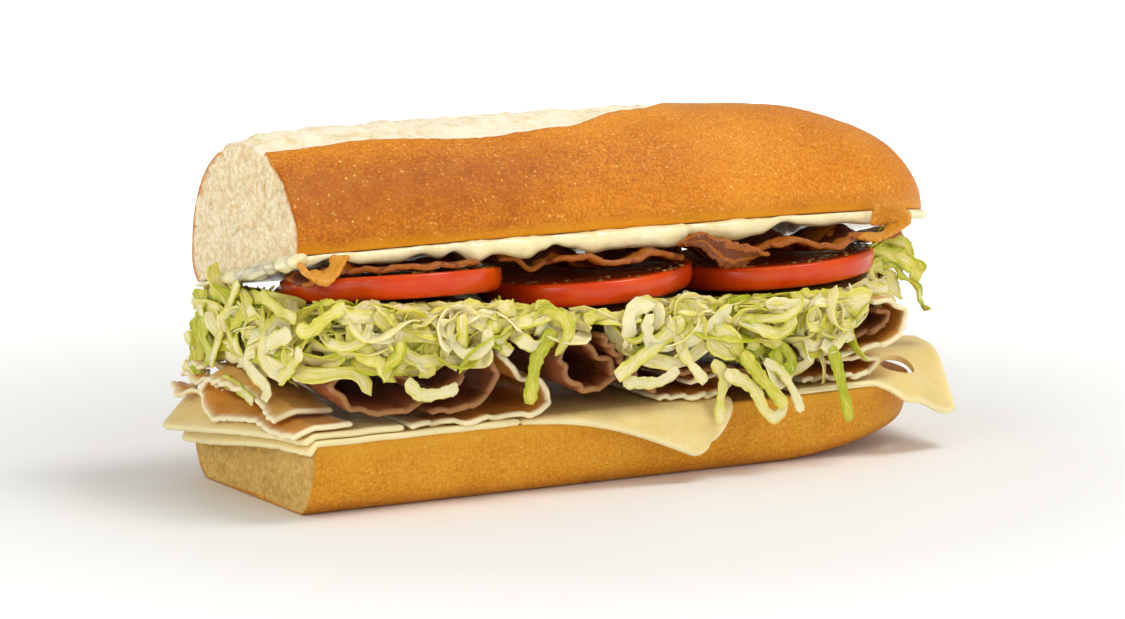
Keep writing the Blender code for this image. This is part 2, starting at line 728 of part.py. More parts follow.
def make_meats(turkey, beef, group):
    """Turkey and roast beef slices that are folded about Y."""
    make_turkey_end(turkey, group)
    make_fold("turkey_2", [(-73.0, 23.15), (-55.0, 23.1), (-38.0, 23.2), (-31.6, 24.6), (-30.2, 28.2),
                           (-34.0, 31.4), (-40.0, 33.8), (-44.5, 37.5), (-46.0, 41.6)],
              16, -40.5, 33.0, 4, (1.0, -45.0, 24.0), TURKEY_THICK, turkey, group)
    make_fold("turkey_3", [(5.0, 23.4), (14.0, 23.2), (24.0, 23.4), (27.5, 25.6), (24.0, 28.2),
                           (14.0, 27.6)],
              9, -39.5, 30.0, 3, (1.0, 15.0, 24.0), TURKEY_THICK, turkey, group)
    make_fold("turkey_4", [(50.5, 30.6), (63.0, 31.0), (75.0, 31.4), (83.5, 34.2), (86.8, 39.0),
                           (84.0, 43.2), (75.0, 45.0)],
              12, -38.5, 20.0, 4, (0.94, 70.0, 34.0), TURKEY_THICK, turkey, group)
    make_fold("turkey_5", [(53.0, 23.6), (66.0, 23.6), (75.5, 24.0), (79.0, 26.3), (74.5, 28.6),
                           (62.0, 28.4)],
              10, -36.0, 24.0, 3, (1.0, 65.0, 24.0), TURKEY_THICK, turkey, group)
    make_fold("beef_1", [(-67.0, 30.0), (-76.0, 27.6), (-87.5, 28.6), (-94.5, 32.4), (-96.0, 36.4),
                         (-90.5, 39.4), (-82.0, 38.8), (-73.5, 35.2), (-70.0, 33.2)],
              15, -40.5, 30.0, 5, (0.5, -74.0, 33.5), BEEF_THICK, beef, group)
    make_fold("beef_2", [(-66.0, 26.2), (-58.0, 27.0), (-51.0, 28.5), (-48.0, 33.0), (-49.2, 39.5),
                         (-52.0, 42.0), (-55.5, 38.0), (-60.0, 33.6), (-64.0, 31.8)],
              14, -41.0, 32.0, 4, (0.9, -54.0, 33.0), BEEF_THICK, beef, group)
    make_fold("beef_3", [(-27.6, 42.6), (-27.4, 36.0), (-24.0, 30.6), (-17.0, 28.0), (-11.0, 30.6),
                         (-12.4, 35.0), (-18.0, 39.0), (-20.6, 42.4)],
              14, -41.0, 32.0, 4, (0.95, -19.0, 34.0), BEEF_THICK, beef, group)
    make_fold("beef_4", [(-15.6, 42.6), (-10.6, 37.4), (-6.6, 32.0), (-2.0, 28.2), (2.0, 26.4)],
              9, -41.5, 32.0, 3, (1.0, -8.0, 33.0), BEEF_THICK, beef, group)
    make_fold("beef_5", [(6.0, 31.0), (20.0, 30.4), (32.0, 29.0), (40.0, 26.6), (46.0, 24.4)],
              9, -42.0, 32.0, 3, (1.0, 25.0, 29.0), BEEF_THICK, beef, group)
    make_fold("beef_6", [(56.0, 42.0), (62.0, 37.0), (70.0, 34.6), (78.0, 36.4), (81.5, 39.6),
                         (78.0, 42.0)],
              10, -36.0, 18.0, 3, (0.94, 70.0, 37.0), BEEF_THICK, beef, group)


def tomato_under(x, y, margin):
    """Height of the undersides of the tomato slices near x, y."""
    near = [p for p in TOMATOES if math.hypot(x - p[0], y - p[1]) < TOMATO_RADIUS + margin]
    return min((slice_level(p, x, y) - 0.5 * TOMATO_THICK for p in near), default=LID_FRONT_EDGE_Z)


def core_levels(x):
    """Underside and front upper level of the packed lettuce at x."""
    low = through([(-97, 42.2), (-93, 44.6), (-8, 44.4), (4, 34.6), (44, 33.6), (48, 34.0), (53, 46.4)], x)
    high = through([(-97, 50.0), (-90, 54.0), (-44, 54.0), (-32, 50.5), (30, 50.0), (92, 51.0)], x)
    return low, high


def make_core(finish, group):
    """The packed middle of the lettuce, under the tomato slices."""
    rings = []
    for x in sorted(list(np.linspace(CORE_FROM_X, CORE_TO_X, 18)) + [47.5, 53.5]):
        low, high = core_levels(x)
        end = mix(0.72, 1.0, smooth(min(x - CORE_FROM_X, CORE_TO_X - x) / 10.0))
        half = CORE_HALF_WIDTH * end * mix(1.0, 0.74, smooth((x - 60.0) / 32.0))
        ring = []
        for k in range(12):
            a = 2.0 * math.pi * k / 12
            y = -1.0 + half * math.copysign(abs(math.cos(a)) ** 0.5, math.cos(a))
            side = math.copysign(abs(math.sin(a)) ** 0.7, math.sin(a))
            top = min(high, tomato_under(x, y, 16.0) - 1.6, lid_edge_z(max(y, LID_FRONT_EDGE_Y)) - 3.0)
            z = mix(low, top, 0.5 + 0.5 * side)
            y += 1.4 * rough(x, y, z, 8.0)
            ring.append((x, y, z))
        rings.append(ring)
    return loft("lettuce", rings, (0.4,), lambda p: 0.0, finish, group)


def strip_mesh(path, tilt, twist, width, thick):
    """A thin strip along path, tilted at its root and twisting to its tip."""
    count = len(path)
    ahead = np.gradient(path, axis=0)
    ahead /= np.linalg.norm(ahead, axis=1)[:, None]
    normal = np.array([0.0, 0.0, 1.0])
    verts = []
    for k in range(count):
        normal = normal - ahead[k] * np.dot(normal, ahead[k])
        normal /= np.linalg.norm(normal)
        angle = tilt + twist * k / (count - 1)
        up = normal * math.cos(angle) + np.cross(ahead[k], normal) * math.sin(angle)
        side = np.cross(ahead[k], up)
        wide = 0.5 * width * (0.72 if k in (0, count - 1) else 1.0)
        for su, sv in ((-1, -1), (1, -1), (1, 1), (-1, 1)):
            verts.append(tuple(path[k] + side * su * wide + up * sv * 0.5 * thick))
    faces = [(0, 1, 2, 3)]
    for k in range(count - 1):
        for j in range(4):
            first = 4 * k + j
            second = 4 * k + (j + 1) % 4
            faces.append((first, first + 4, second + 4, second))
    tail = 4 * (count - 1)
    faces.append((tail + 3, tail + 2, tail + 1, tail))
    return verts, faces


def shred_path(side, rng):
    """A shred's middle line, rooted in the packed lettuce, and its tilt."""
    drop = rng.random()
    run = rng.uniform(-1.0, 1.0)
    length = rng.uniform(14.0, 26.0)
    if side == "front":
        x = rng.uniform(-92.0, 84.0)
        low, high = core_levels(x)
        z = rng.uniform(low + 1.5, high - 1.0)
        out = rng.uniform(40.5, 46.5)
        start = np.array([x, -31.0, z])
        first = np.array([x + 2.0 * run, -38.5, z + rng.uniform(-0.5, 1.5)])
        if drop < 0.42:
            longest = through([(-95, 13), (-40, 16), (0, 20), (30, 31), (62, 31), (84, 18)], x)
            reach = rng.uniform(0.45, 1.0) * longest
            bend = np.array([x + 8.0 * run, -out, z - 0.3 * reach])
            end = np.array([x + 15.0 * run, -out + rng.uniform(-1.0, 1.5), z - reach])
            tilt = rng.uniform(-0.5, 0.5)
        else:
            bend = np.array([x + 0.45 * length * math.copysign(1, run), -out, z + rng.uniform(-4.0, 2.0)])
            end = np.array([x + 0.95 * length * math.copysign(1, run), -out + rng.uniform(0.0, 3.5),
                            z + rng.uniform(-9.0, 1.0)])
            tilt = math.copysign(rng.uniform(0.7, 1.6), run)
    elif side == "left":
        y = rng.uniform(-30.0, 24.0)
        z = rng.uniform(44.0, 50.5)
        start = np.array([-90.0, y, z])
        first = np.array([-98.0, y + 1.5 * run, z + rng.uniform(0.0, 2.5)])
        bend = np.array([-103.0 - 2.5 * drop, y + 5.0 * run, z - 0.3 * length])
        end = np.array([-103.0 - 3.5 * drop, y + 10.0 * run, z - 0.75 * length])
        tilt = rng.uniform(-0.6, 0.6)
    elif side == "right":
        turn = rng.uniform(-70.0, 50.0)
        ray = np.array([math.cos(math.radians(turn)), math.sin(math.radians(turn)), 0.0])
        z = rng.uniform(47.5, 49.0)
        hub = np.array([70.0, 0.0, z])
        start = hub + ray * 17.0
        first = hub + ray * 27.0 + np.array([0.0, 0.0, rng.uniform(0.0, 4.0)])
        bend = hub + ray * (33.0 + 4.0 * drop) + np.array([0.0, 4.0 * run, rng.uniform(-6.0, 6.0)])
        end = hub + ray * (35.0 + 5.0 * drop) + np.array([0.0, 9.0 * run, rng.uniform(-14.0, 6.0)])
        tilt = rng.uniform(-1.2, 1.2)
    else:
        x = rng.uniform(-88.0, 78.0)
        low, high = core_levels(x)
        z = rng.uniform(low + 1.5, high - 4.0)
        out = rng.uniform(36.5, 41.0)
        start = np.array([x, 26.0, z])
        first = np.array([x + 2.0 * run, 34.0, z + rng.uniform(-0.5, 1.0)])
        bend = np.array([x + 0.4 * length * run, out, z - 0.25 * length * drop])
        end = np.array([x + 0.9 * length * run, out + rng.uniform(-1.0, 1.0),
                        z - length * (0.25 + 0.6 * drop)])
        tilt = rng.uniform(-1.0, 1.0)
    return [start, first, bend, end], tilt


def crosses_itself(tree, faces):
    """Whether faces that share no corner meet."""
    return any(not set(faces[a]) & set(faces[b]) for a, b in tree.overlap(tree))


def make_lettuce(finish, group, neighbours):
    """The lettuce: packed core with the showing shreds fused on."""
    core = make_core(finish, group)
    trees = []
    graph = bpy.context.evaluated_depsgraph_get()
    for other in neighbours:
        shape = bmesh.new()
        shape.from_mesh(bpy.data.meshes.new_from_object(other.evaluated_get(graph)))
        trees.append(BVHTree.FromBMesh(shape))
        shape.free()
    rng = random.Random(SHRED_SEED)
    strips = collection("shreds")
    laid = []
    for side, count in SHREDS.items():
        placed = 0
        for _ in range(count * SHRED_TRIES):
            if placed == count:
                break
            route, tilt = shred_path(side, rng)
            width = rng.uniform(*SHRED_WIDTHS)
            twist = rng.uniform(-0.9, 0.9)
            path = spline(route, 6)
            fat, faces = strip_mesh(path, tilt, twist, width + 0.8, SHRED_THICK + 0.7)
            probe = BVHTree.FromPolygons([Vector(p) * MM for p in fat], faces)
            if any(probe.overlap(tree) for tree in trees) or crosses_itself(probe, faces):
                continue
            if sum(bool(probe.overlap(other)) for other in laid) > 1:
                continue
            verts, faces = strip_mesh(path, tilt, twist, width, SHRED_THICK)
            mesh_object("shred", verts, faces, finish, strips)
            laid.append(probe)
            placed += 1
    union(core, strips, "MANIFOLD")
    core.data.shade_smooth()
    core.data.set_sharp_from_angle(angle=math.radians(40))
    return core


def way_to_origin(objects):
    """The move that stands the whole on the origin, centred over it."""
    graph = bpy.context.evaluated_depsgraph_get()
    corners = []
    for obj in objects:
        shape = bpy.data.meshes.new_from_object(obj.evaluated_get(graph))
        corners += [v.co.copy() for v in shape.vertices]
        bpy.data.meshes.remove(shape)
    pts = np.array(corners)
    low = pts.min(axis=0)
    high = pts.max(axis=0)
    return Vector((-0.5 * (low[0] + high[0]), -0.5 * (low[1] + high[1]), -low[2]))


def main():
    """Build the sandwich."""
    clear_scene()
    group = collection("submarine_sandwich")
    cutters = collection("cutters")
    crust = material("crust", (208, 132, 52), 0.55)
    pale_crust = material("lower_crust", (216, 150, 50), 0.6)
    cheese = material("cheese", (240, 224, 168), 0.4, 0.1)
    turkey = material("turkey", (236, 214, 172), 0.45)
    beef = material("beef", (134, 78, 58), 0.5)
    leaf = material("lettuce", (206, 214, 120), 0.4, 0.1)
    red = material("tomato", (196, 44, 10), 0.3, 0.3)
    rasher = material("bacon", (136, 54, 20), 0.4, 0.2)
    spread = material("mayonnaise", (244, 236, 206), 0.3, 0.3)

    make_base(pale_crust, group)
    level = BASE_HEIGHT + GAP + 0.5 * CHEESE_THICK
    make_cheese_left(1, ((-104.0, -41.8), (-41.0, -41.2), (-105.5, 31.0), (-44.0, 33.0)),
                     level, (1.0, 1.6), cheese, group)
    make_cheese_left(2, ((-104.5, -41.4), (-76.0, -41.0), (-110.5, 34.5), (-76.0, 36.0)),
                     level + CHEESE_THICK + GAP, (0.5, 0.45), cheese, group)
    make_cheese_flap(cheese, group)
    make_cheese_end(cheese, group, cutters)
    make_meats(turkey, beef, group)
    for index in range(len(TOMATOES)):
        make_tomato(index, red, group)
    make_bacon(1, -98.0, -51.0, -17.0, 0.4, 4.6, rasher, group)
    make_bacon(2, -39.0, 13.0, -16.0, 1.0, 3.6, rasher, group)
    make_bacon(3, 26.0, 86.0, -15.0, 2.2, 3.9, rasher, group)
    make_mayo(spread, group)
    make_lid(crust, group)
    make_lettuce(leaf, group, list(group.objects))
    shift = way_to_origin(list(group.objects))
    for obj in list(group.objects) + list(cutters.objects):
        obj.location += shift


main()
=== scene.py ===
"""Looks of half a long filled sandwich roll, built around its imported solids.

Sizes are in millimetres until a mesh is made. X runs along the roll from the
cut face to the rounded end, the open side faces -Y and the roll stands on
z = 0. Shapes are drawn in the roll's own measures and then moved by PLACE,
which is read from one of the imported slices.
"""
import logging
import random
from dataclasses import dataclass, field
from enum import Enum
from math import copysign, cos, exp, hypot, pi, radians, sin, sqrt, tan, tanh
from typing import Any, Callable, Iterable, Sequence

import bmesh
import bpy
import numpy as np
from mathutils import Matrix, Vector, noise
from mathutils.bvhtree import BVHTree


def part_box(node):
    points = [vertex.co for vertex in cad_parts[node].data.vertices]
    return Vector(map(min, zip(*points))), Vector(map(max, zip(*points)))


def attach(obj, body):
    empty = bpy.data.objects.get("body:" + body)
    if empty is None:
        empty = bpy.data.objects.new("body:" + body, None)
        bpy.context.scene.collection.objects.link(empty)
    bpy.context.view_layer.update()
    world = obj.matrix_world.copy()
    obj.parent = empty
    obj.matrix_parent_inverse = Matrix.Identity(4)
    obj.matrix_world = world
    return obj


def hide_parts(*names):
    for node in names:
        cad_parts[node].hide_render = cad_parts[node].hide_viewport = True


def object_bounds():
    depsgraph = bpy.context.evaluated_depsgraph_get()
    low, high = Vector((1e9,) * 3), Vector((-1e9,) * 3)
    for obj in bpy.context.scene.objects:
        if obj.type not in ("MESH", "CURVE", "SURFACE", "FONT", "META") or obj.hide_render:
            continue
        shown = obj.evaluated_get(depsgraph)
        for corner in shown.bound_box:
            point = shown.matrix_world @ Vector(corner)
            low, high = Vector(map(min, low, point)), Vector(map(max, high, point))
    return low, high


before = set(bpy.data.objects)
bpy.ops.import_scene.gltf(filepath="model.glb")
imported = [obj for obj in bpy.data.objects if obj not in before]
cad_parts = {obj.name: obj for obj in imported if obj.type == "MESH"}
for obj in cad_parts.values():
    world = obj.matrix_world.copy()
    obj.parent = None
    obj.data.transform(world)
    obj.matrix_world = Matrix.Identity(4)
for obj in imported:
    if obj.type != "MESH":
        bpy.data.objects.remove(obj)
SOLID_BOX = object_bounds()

LOG = logging.getLogger("sandwich")
MM = 0.001
BODY = "root"
GAP = 0.35
RIM_REACH = 3.0
PALE_BELOW = 0.45

# How finely the shapes are drawn
CUT_RINGS = 46
ARC_STEPS = 240
FOLD_ROWS, FOLD_COLS = 80, 44
PATH_STEPS = 24
SHRED_STEPS = 18
CHOSEN_STEPS = 26

UP = np.array([0.0, 0.0, 1.0])
NEAR = (0.0, -1.0, 0.0)

# The middle cheese slice reaches x = -38.5 and y = 33 in the roll's measures
PLACE = Vector((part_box("cheese_3")[0].x + 38.5 * MM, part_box("cheese_3")[1].y - 33.0 * MM, 0.0))

Point = tuple[float, float, float]
Colour = tuple[int, int, int]
Pairs = Sequence[tuple[float, float]]
Stops = Pairs
Faces = list[tuple[int, ...]]
Array = np.ndarray
Material = bpy.types.Material
Socket = bpy.types.NodeSocket
Node = bpy.types.Node
Tree = bpy.types.NodeTree
Piece = bpy.types.Object


class Slot(Enum):
    """The record's material slots."""

    CRUST = "crust"
    LOWER_CRUST = "lower_crust"
    CHEESE = "cheese"
    TURKEY = "turkey"
    BEEF = "beef"
    LETTUCE = "lettuce"
    TOMATO = "tomato"
    BACON = "bacon"
    MAYO = "mayonnaise"


class Side(Enum):
    """The sides of the roll that fillings show at."""

    FRONT = "front"
    CUT = "cut"
    TIP = "tip"
    BACK = "back"


def clamp(value: float, low: float = 0.0, high: float = 1.0) -> float:
    """The value kept between two limits."""
    return max(low, min(high, value))


def smooth(value: float) -> float:
    """A smooth step from 0 to 1."""
    t = clamp(value)
    return t * t * (3.0 - 2.0 * t)


def mix(a: float, b: float, share: float) -> float:
    """A value between a and b."""
    return a + (b - a) * share


def rough(x: float, y: float, z: float, size: float) -> float:
    """Smooth noise from about -1 to 1 with lumps of the given size."""
    return noise.noise(Vector((x / size, y / size, z / size)))


def through(stops: Stops, x: float) -> float:
    """Smooth value at x through (x, value) stops.

    Args:
        stops: The x and value pairs, in rising order of x.
        x: Where the value is wanted.

    Returns:
        The value, constant before the first stop and after the last.
    """
    if x <= stops[0][0]:
        return stops[0][1]
    for (xa, va), (xb, vb) in zip(stops, stops[1:]):
        if x <= xb:
            return mix(va, vb, smooth((x - xa) / (xb - xa)))
    return stops[-1][1]


def lengths(points: Array, axis: int = 0) -> Array:
    """How far each point lies along its line, counted along the given axis."""
    steps = np.linalg.norm(np.diff(points, axis=axis), axis=-1)
    return np.concatenate([np.zeros_like(np.take(steps, [0], axis)), np.cumsum(steps, axis)], axis)


def resample(points: Any, count: int) -> Array:
    """A polyline as evenly spaced points.

    Args:
        points: The polyline's points.
        count: How many points are wanted.

    Returns:
        An array with one row for each point.
    """
    pts = np.array(points, float)
    run = lengths(pts)
    want = np.linspace(0.0, run[-1], count)
    return np.stack([np.interp(want, run, pts[:, k]) for k in range(pts.shape[1])], 1)


def spline(points: Any, count: int, closed: bool = False) -> Array:
    """A Catmull-Rom curve through points.

    Args:
        points: The points that the curve passes through.
        count: How many even points are wanted.
        closed: Whether the curve runs back to its first point.

    Returns:
        An array with one row for each point.
    """
    pts = [np.array(p, float) for p in points]
    if closed:
        pts = [pts[-1]] + pts + [pts[0], pts[1]]
    else:
        pts = [2 * pts[0] - pts[1]] + pts + [2 * pts[-1] - pts[-2]]
    dense = []
    for a, b, c, d in zip(pts, pts[1:], pts[2:], pts[3:]):
        for k in range(12):
            t = k / 12.0
            dense.append(0.5 * (2 * b + (c - a) * t + (2 * a - 5 * b + 4 * c - d) * t * t
                                + (3 * b - a - 3 * c + d) * t ** 3))
    dense.append(pts[-2])
    even = resample(dense, count + 1 if closed else count)
    return even[:-1] if closed else even


def unit(vectors: Array) -> Array:
    """The vectors at length 1."""
    return vectors / np.maximum(np.linalg.norm(vectors, axis=-1, keepdims=True), 1e-9)


@dataclass
class Shape:
    """Points in millimetres, faces, and named values that the points carry."""

    points: list[Any] = field(default_factory=list)
    faces: Faces = field(default_factory=list)
    values: dict[str, list[float]] = field(default_factory=dict)

    def add(self, points: Any, faces: Iterable[Sequence[int]], **values: Any) -> None:
        """Put one more body in the shape.

        Args:
            points: The body's points.
            faces: Its faces, as indexes into those points.
            **values: Lists of one number for each point.
        """
        first = len(self.points)
        self.points.extend(tuple(map(float, p)) for p in points)
        self.faces.extend(tuple(first + k for k in face) for face in faces)
        for name, numbers in values.items():
            self.values.setdefault(name, []).extend(float(v) for v in numbers)

    @classmethod
    def of(cls, points: Any, faces: Iterable[Sequence[int]], **values: Any) -> "Shape":
        """A shape of one body."""
        made = cls()
        made.add(points, faces, **values)
        return made

    def mesh(self, name: str) -> bpy.types.Mesh:
        """The shape as a mesh in metres, in its place."""
        made = bpy.data.meshes.new(name)
        verts = [(x * MM + PLACE.x, y * MM + PLACE.y, z * MM) for x, y, z in self.points]
        made.from_pydata(verts, [], self.faces)
        for key, numbers in self.values.items():
            layer = made.attributes.new(key, "FLOAT", "POINT")
            layer.data.foreach_set("value", numbers)
        made.update()
        return made

    def piece(self, name: str, finish: Material, slot: Slot, *nodes: str) -> Piece:
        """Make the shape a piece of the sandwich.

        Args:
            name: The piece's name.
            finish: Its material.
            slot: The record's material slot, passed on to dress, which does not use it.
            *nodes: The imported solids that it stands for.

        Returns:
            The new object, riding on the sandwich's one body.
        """
        mesh = self.mesh(name)
        obj = bpy.data.objects.new(name, mesh)
        bpy.context.scene.collection.objects.link(obj)
        return dress(obj, finish, slot, *nodes)


def dress(obj: Piece, finish: Material, slot: Slot, *nodes: str) -> Piece:
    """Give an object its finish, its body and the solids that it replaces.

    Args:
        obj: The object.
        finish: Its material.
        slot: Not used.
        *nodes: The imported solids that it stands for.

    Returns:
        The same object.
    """
    obj.data.materials.clear()
    obj.data.materials.append(finish)
    obj.data.shade_smooth()
    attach(obj, BODY)
    if nodes:
        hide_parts(*nodes)
    LOG.info("%s: %d points, stands for %s", obj.name, len(obj.data.vertices), ", ".join(nodes) or "itself")
    return obj


def bands(rings: int, count: int, flip: bool = False, ends: bool = False) -> Faces:
    """Faces between closed rings of points.

    Args:
        rings: How many rings there are.
        count: How many points each of them has.
        flip: Whether the faces are turned over.
        ends: Whether the first and the last ring are closed too.

    Returns:
        The faces.
    """
    faces: Faces = []
    for start in range(0, (rings - 1) * count, count):
        for k in range(count):
            a, b = start + k, start + (k + 1) % count
            faces.append((a, a + count, b + count, b) if flip else (a, b, b + count, a + count))
    if ends:
        near, far = tuple(range(count)), tuple(range((rings - 1) * count, rings * count))
        faces += [near, far[::-1]] if flip else [near[::-1], far]
    return faces


def loft(rings: Sequence[Any], shares: Sequence[float]) -> tuple[list[Any], Faces]:
    """A closed body through rings of points.

    Args:
        rings: The rings, all with the same number of points.
        shares: How far towards its middle each closing ring of an end is drawn.

    Returns:
        The points and the faces.
    """
    count = len(rings[0])
    body = [np.array(ring, float) for ring in rings]
    for end in (0, -1):
        edge = body[end]
        for share in shares:
            ring = edge + (edge.mean(axis=0) - edge) * share
            body = [ring] + body if end == 0 else body + [ring]
    points = [p for ring in body for p in ring] + [body[0].mean(axis=0), body[-1].mean(axis=0)]
    faces = bands(len(body), count)
    tail = (len(body) - 1) * count
    for k in range(count):
        faces.append((len(points) - 2, (k + 1) % count, k))
        faces.append((len(points) - 1, tail + k, tail + (k + 1) % count))
    return points, faces


def slab(middle: Array, thick: Any) -> tuple[Array, Faces, dict[str, Array]]:
    """A thin slice with rounded rims around a grid of points.

    Args:
        middle: The middle surface, as rows and columns of points.
        thick: The thickness, one number or one for each point.

    Returns:
        The points, the faces, and for each point how near the rim it is
        (edge), whether it is on the under face (under) and how far it lies
        across the slice from -1 to 1 (across).
    """
    rows, cols, _ = middle.shape
    half = 0.5 * np.broadcast_to(np.asarray(thick, float), (rows, cols))[..., None]
    du = unit(np.gradient(middle, axis=0))
    dv = unit(np.gradient(middle, axis=1))
    normal = unit(np.cross(du, dv))
    down, over = lengths(middle), lengths(middle, 1)
    inward = np.minimum(np.minimum(down, down[-1] - down), np.minimum(over, over[:, -1:] - over))
    edge = np.clip(1.0 - inward / RIM_REACH, 0.0, 1.0)
    across = np.broadcast_to(np.linspace(-1.0, 1.0, cols), (rows, cols))

    def ring(mid: Array, out: Array, side: Array, deep: Array) -> Array:
        """One closed ring around a row of the grid."""
        start = mid[:1] - side[:1] * deep[:1] * 0.8
        end = mid[-1:] + side[-1:] * deep[-1:] * 0.8
        return np.concatenate([mid + out * deep, end, (mid - out * deep)[::-1], start])

    rings = [ring(middle[0] - du[0] * half[0] * 0.8, normal[0], dv[0], half[0] * 0.45)]
    rings += [ring(middle[i], normal[i], dv[i], half[i]) for i in range(rows)]
    rings.append(ring(middle[-1] + du[-1] * half[-1] * 0.8, normal[-1], dv[-1], half[-1] * 0.45))
    size = 2 * cols + 2
    faces = bands(rows + 2, size)
    tail = (rows + 1) * size
    for k in range(cols - 1):
        faces.append((k, 2 * cols - k, 2 * cols - k - 1, k + 1))
        faces.append((tail + k, tail + k + 1, tail + 2 * cols - k - 1, tail + 2 * cols - k))
    faces += [(0, 2 * cols + 1, 2 * cols), (cols - 1, cols + 1, cols)]
    faces += [(tail, tail + 2 * cols, tail + 2 * cols + 1), (tail + cols - 1, tail + cols, tail + cols + 1)]

    def around(grid: Array) -> Array:
        """A grid's values at the rings' points."""
        whole = np.concatenate([grid[:1], grid, grid[-1:]])
        return np.concatenate([whole, whole[:, -1:], whole[:, ::-1], whole[:, :1]], axis=1).ravel()

    under = np.tile(np.concatenate([np.zeros(cols), [0.5], np.ones(cols), [0.5]]), rows + 2)
    values = {"edge": around(edge), "under": under, "across": around(across)}
    return np.concatenate(rings), faces, values


def carry(path: Array, tilt: Array, first: Array) -> tuple[Array, Array]:
    """Frames along a path that turn no more than they must.

    Args:
        path: The points of the path.
        tilt: How far each frame is turned about the path, in radians.
        first: The way that the first frame faces.

    Returns:
        The facing direction and the sideways direction at each point.
    """
    ahead = unit(np.gradient(path, axis=0))
    facing = np.array(first, float)
    ups = []
    for k in range(len(path)):
        facing = facing - ahead[k] * np.dot(facing, ahead[k])
        facing = facing / max(np.linalg.norm(facing), 1e-9)
        ups.append(facing * cos(tilt[k]) + np.cross(ahead[k], facing) * sin(tilt[k]))
    up = np.array(ups)
    return up, np.cross(ahead, up)


def ribbon(path: Array, width: Array, thick: float, tilt: Array, first: Array, cup: float,
           frill: float, phase: float, slant: float = 0.0,
           ragged: float = 0.0) -> tuple[Array, Faces, Array, Array]:
    """A curled strip along a path.

    Args:
        path: The points of its middle line.
        width: Its width at each point.
        thick: Its thickness.
        tilt: How far it is turned about its path at each point, in radians.
        first: The way that its first end faces.
        cup: How far its edges curl up, as a share of its width.
        frill: How far its edges wave up and down.
        phase: Where the waves start, in radians.
        slant: How far its ends are cut aslant, as a share of its width.
        ragged: How uneven its two edges are, as a share of its width.

    Returns:
        The points, the faces, and how far along and across each point is.
    """
    count = len(path)
    ahead = unit(np.gradient(path, axis=0))
    up, side = carry(path, tilt, first)
    run = lengths(path)
    shares = (-1.0, -0.5, 0.0, 0.5, 1.0)
    middle = np.empty((count, 5, 3))
    for j, share in enumerate(shares):
        wave = frill * share ** 2 * np.sin(run / 1.7 + phase + 1.3 * share)
        lift = cup * share ** 2 * width + wave
        uneven = 0.6 * np.sin(1.9 * run + 4.0 * share + phase) + 0.4 * np.sin(4.3 * run + 7.0 * share)
        torn = 1.0 + ragged * uneven
        near_end = np.exp(-run / 1.8) - np.exp((run - run[-1]) / 1.8) * 0.6
        middle[:, j] = (path + side * (share * 0.5 * width * torn)[:, None] + up * lift[:, None]
                        + ahead * (slant * share * width * near_end)[:, None])
    points, faces, values = slab(middle, thick)
    along = np.repeat(np.concatenate([[0.0], run / run[-1], [1.0]]), 12)
    return points, faces, along, values["across"]


def linear(colour: Colour) -> tuple[float, float, float, float]:
    """An sRGB colour of 0 to 255 as Blender's linear colour."""
    parts = [c / 255.0 for c in colour]
    made = [p / 12.92 if p <= 0.04045 else ((p + 0.055) / 1.055) ** 2.4 for p in parts]
    return made[0], made[1], made[2], 1.0


class Wires:
    """Short calls that add nodes to a material's or a group's tree."""

    def __init__(self, tree: Tree) -> None:
        """Keep the tree."""
        self.tree = tree

    def add(self, kind: str, sockets: dict[str | int, Any] | None = None, **settings: Any) -> Node:
        """Add a node.

        Args:
            kind: The node's type.
            sockets: What its inputs get, sockets to link or plain values.
            **settings: The node's own settings.

        Returns:
            The node.
        """
        node = self.tree.nodes.new(kind)
        for name, value in settings.items():
            setattr(node, name, value)
        for key, value in (sockets or {}).items():
            socket = node.inputs[key]
            if isinstance(value, Socket):
                self.tree.links.new(value, socket)
            else:
                socket.default_value = value
        return node

    def math(self, operation: str, a: Any, b: Any = 0.0, limit: bool = False) -> Socket:
        """One sum of two numbers, kept within 0 to 1 if limit is set."""
        return self.add("ShaderNodeMath", {0: a, 1: b}, operation=operation, use_clamp=limit).outputs[0]

    def times(self, a: Any, b: Any, limit: bool = False) -> Socket:
        """The product of two numbers."""
        return self.math("MULTIPLY", a, b, limit)

    def plus(self, a: Any, b: Any, limit: bool = False) -> Socket:
        """The sum of two numbers."""
        return self.math("ADD", a, b, limit)

    def minus(self, a: Any, b: Any) -> Socket:
        """What is left of a after b."""
        return self.math("SUBTRACT", a, b)

    def sway(self, mask: Any, size: Any, limit: bool = False) -> Socket:
        """A mask of 0 to 1 as a change of up to half the size either way."""
        return self.times(self.minus(mask, 0.5), size, limit)

    def mottle(self, effects: "Effects", size: float, detail: float, contrast: float,
               seed: float = 0.0) -> Socket:
        """The mask of soft uneven patches."""
        return self.group(effects.mottle, size=size, detail=detail, contrast=contrast, seed=seed).outputs[0]

    def blend(self, share: Any, a: Any, b: Any) -> Socket:
        """A colour between a and b."""
        ends = [linear(c) if isinstance(c, tuple) else c for c in (a, b)]
        node = self.add("ShaderNodeMix", {0: share, 6: ends[0], 7: ends[1]}, data_type="RGBA")
        return node.outputs[2]

    def value(self, name: str) -> Socket:
        """A value that the mesh's points carry."""
        return self.add("ShaderNodeAttribute", attribute_name=name).outputs["Fac"]

    def place(self) -> Socket:
        """Where a point is, in metres."""
        return self.add("ShaderNodeTexCoord").outputs["Object"]

    def group(self, tree: Tree, **sockets: Any) -> Node:
        """Place a node group with its own values."""
        node = self.add("ShaderNodeGroup", node_tree=tree)
        for key, value in sockets.items():
            socket = node.inputs[key.replace("_", " ").title()]
            if isinstance(value, Socket):
                self.tree.links.new(value, socket)
            else:
                socket.default_value = value
        return node


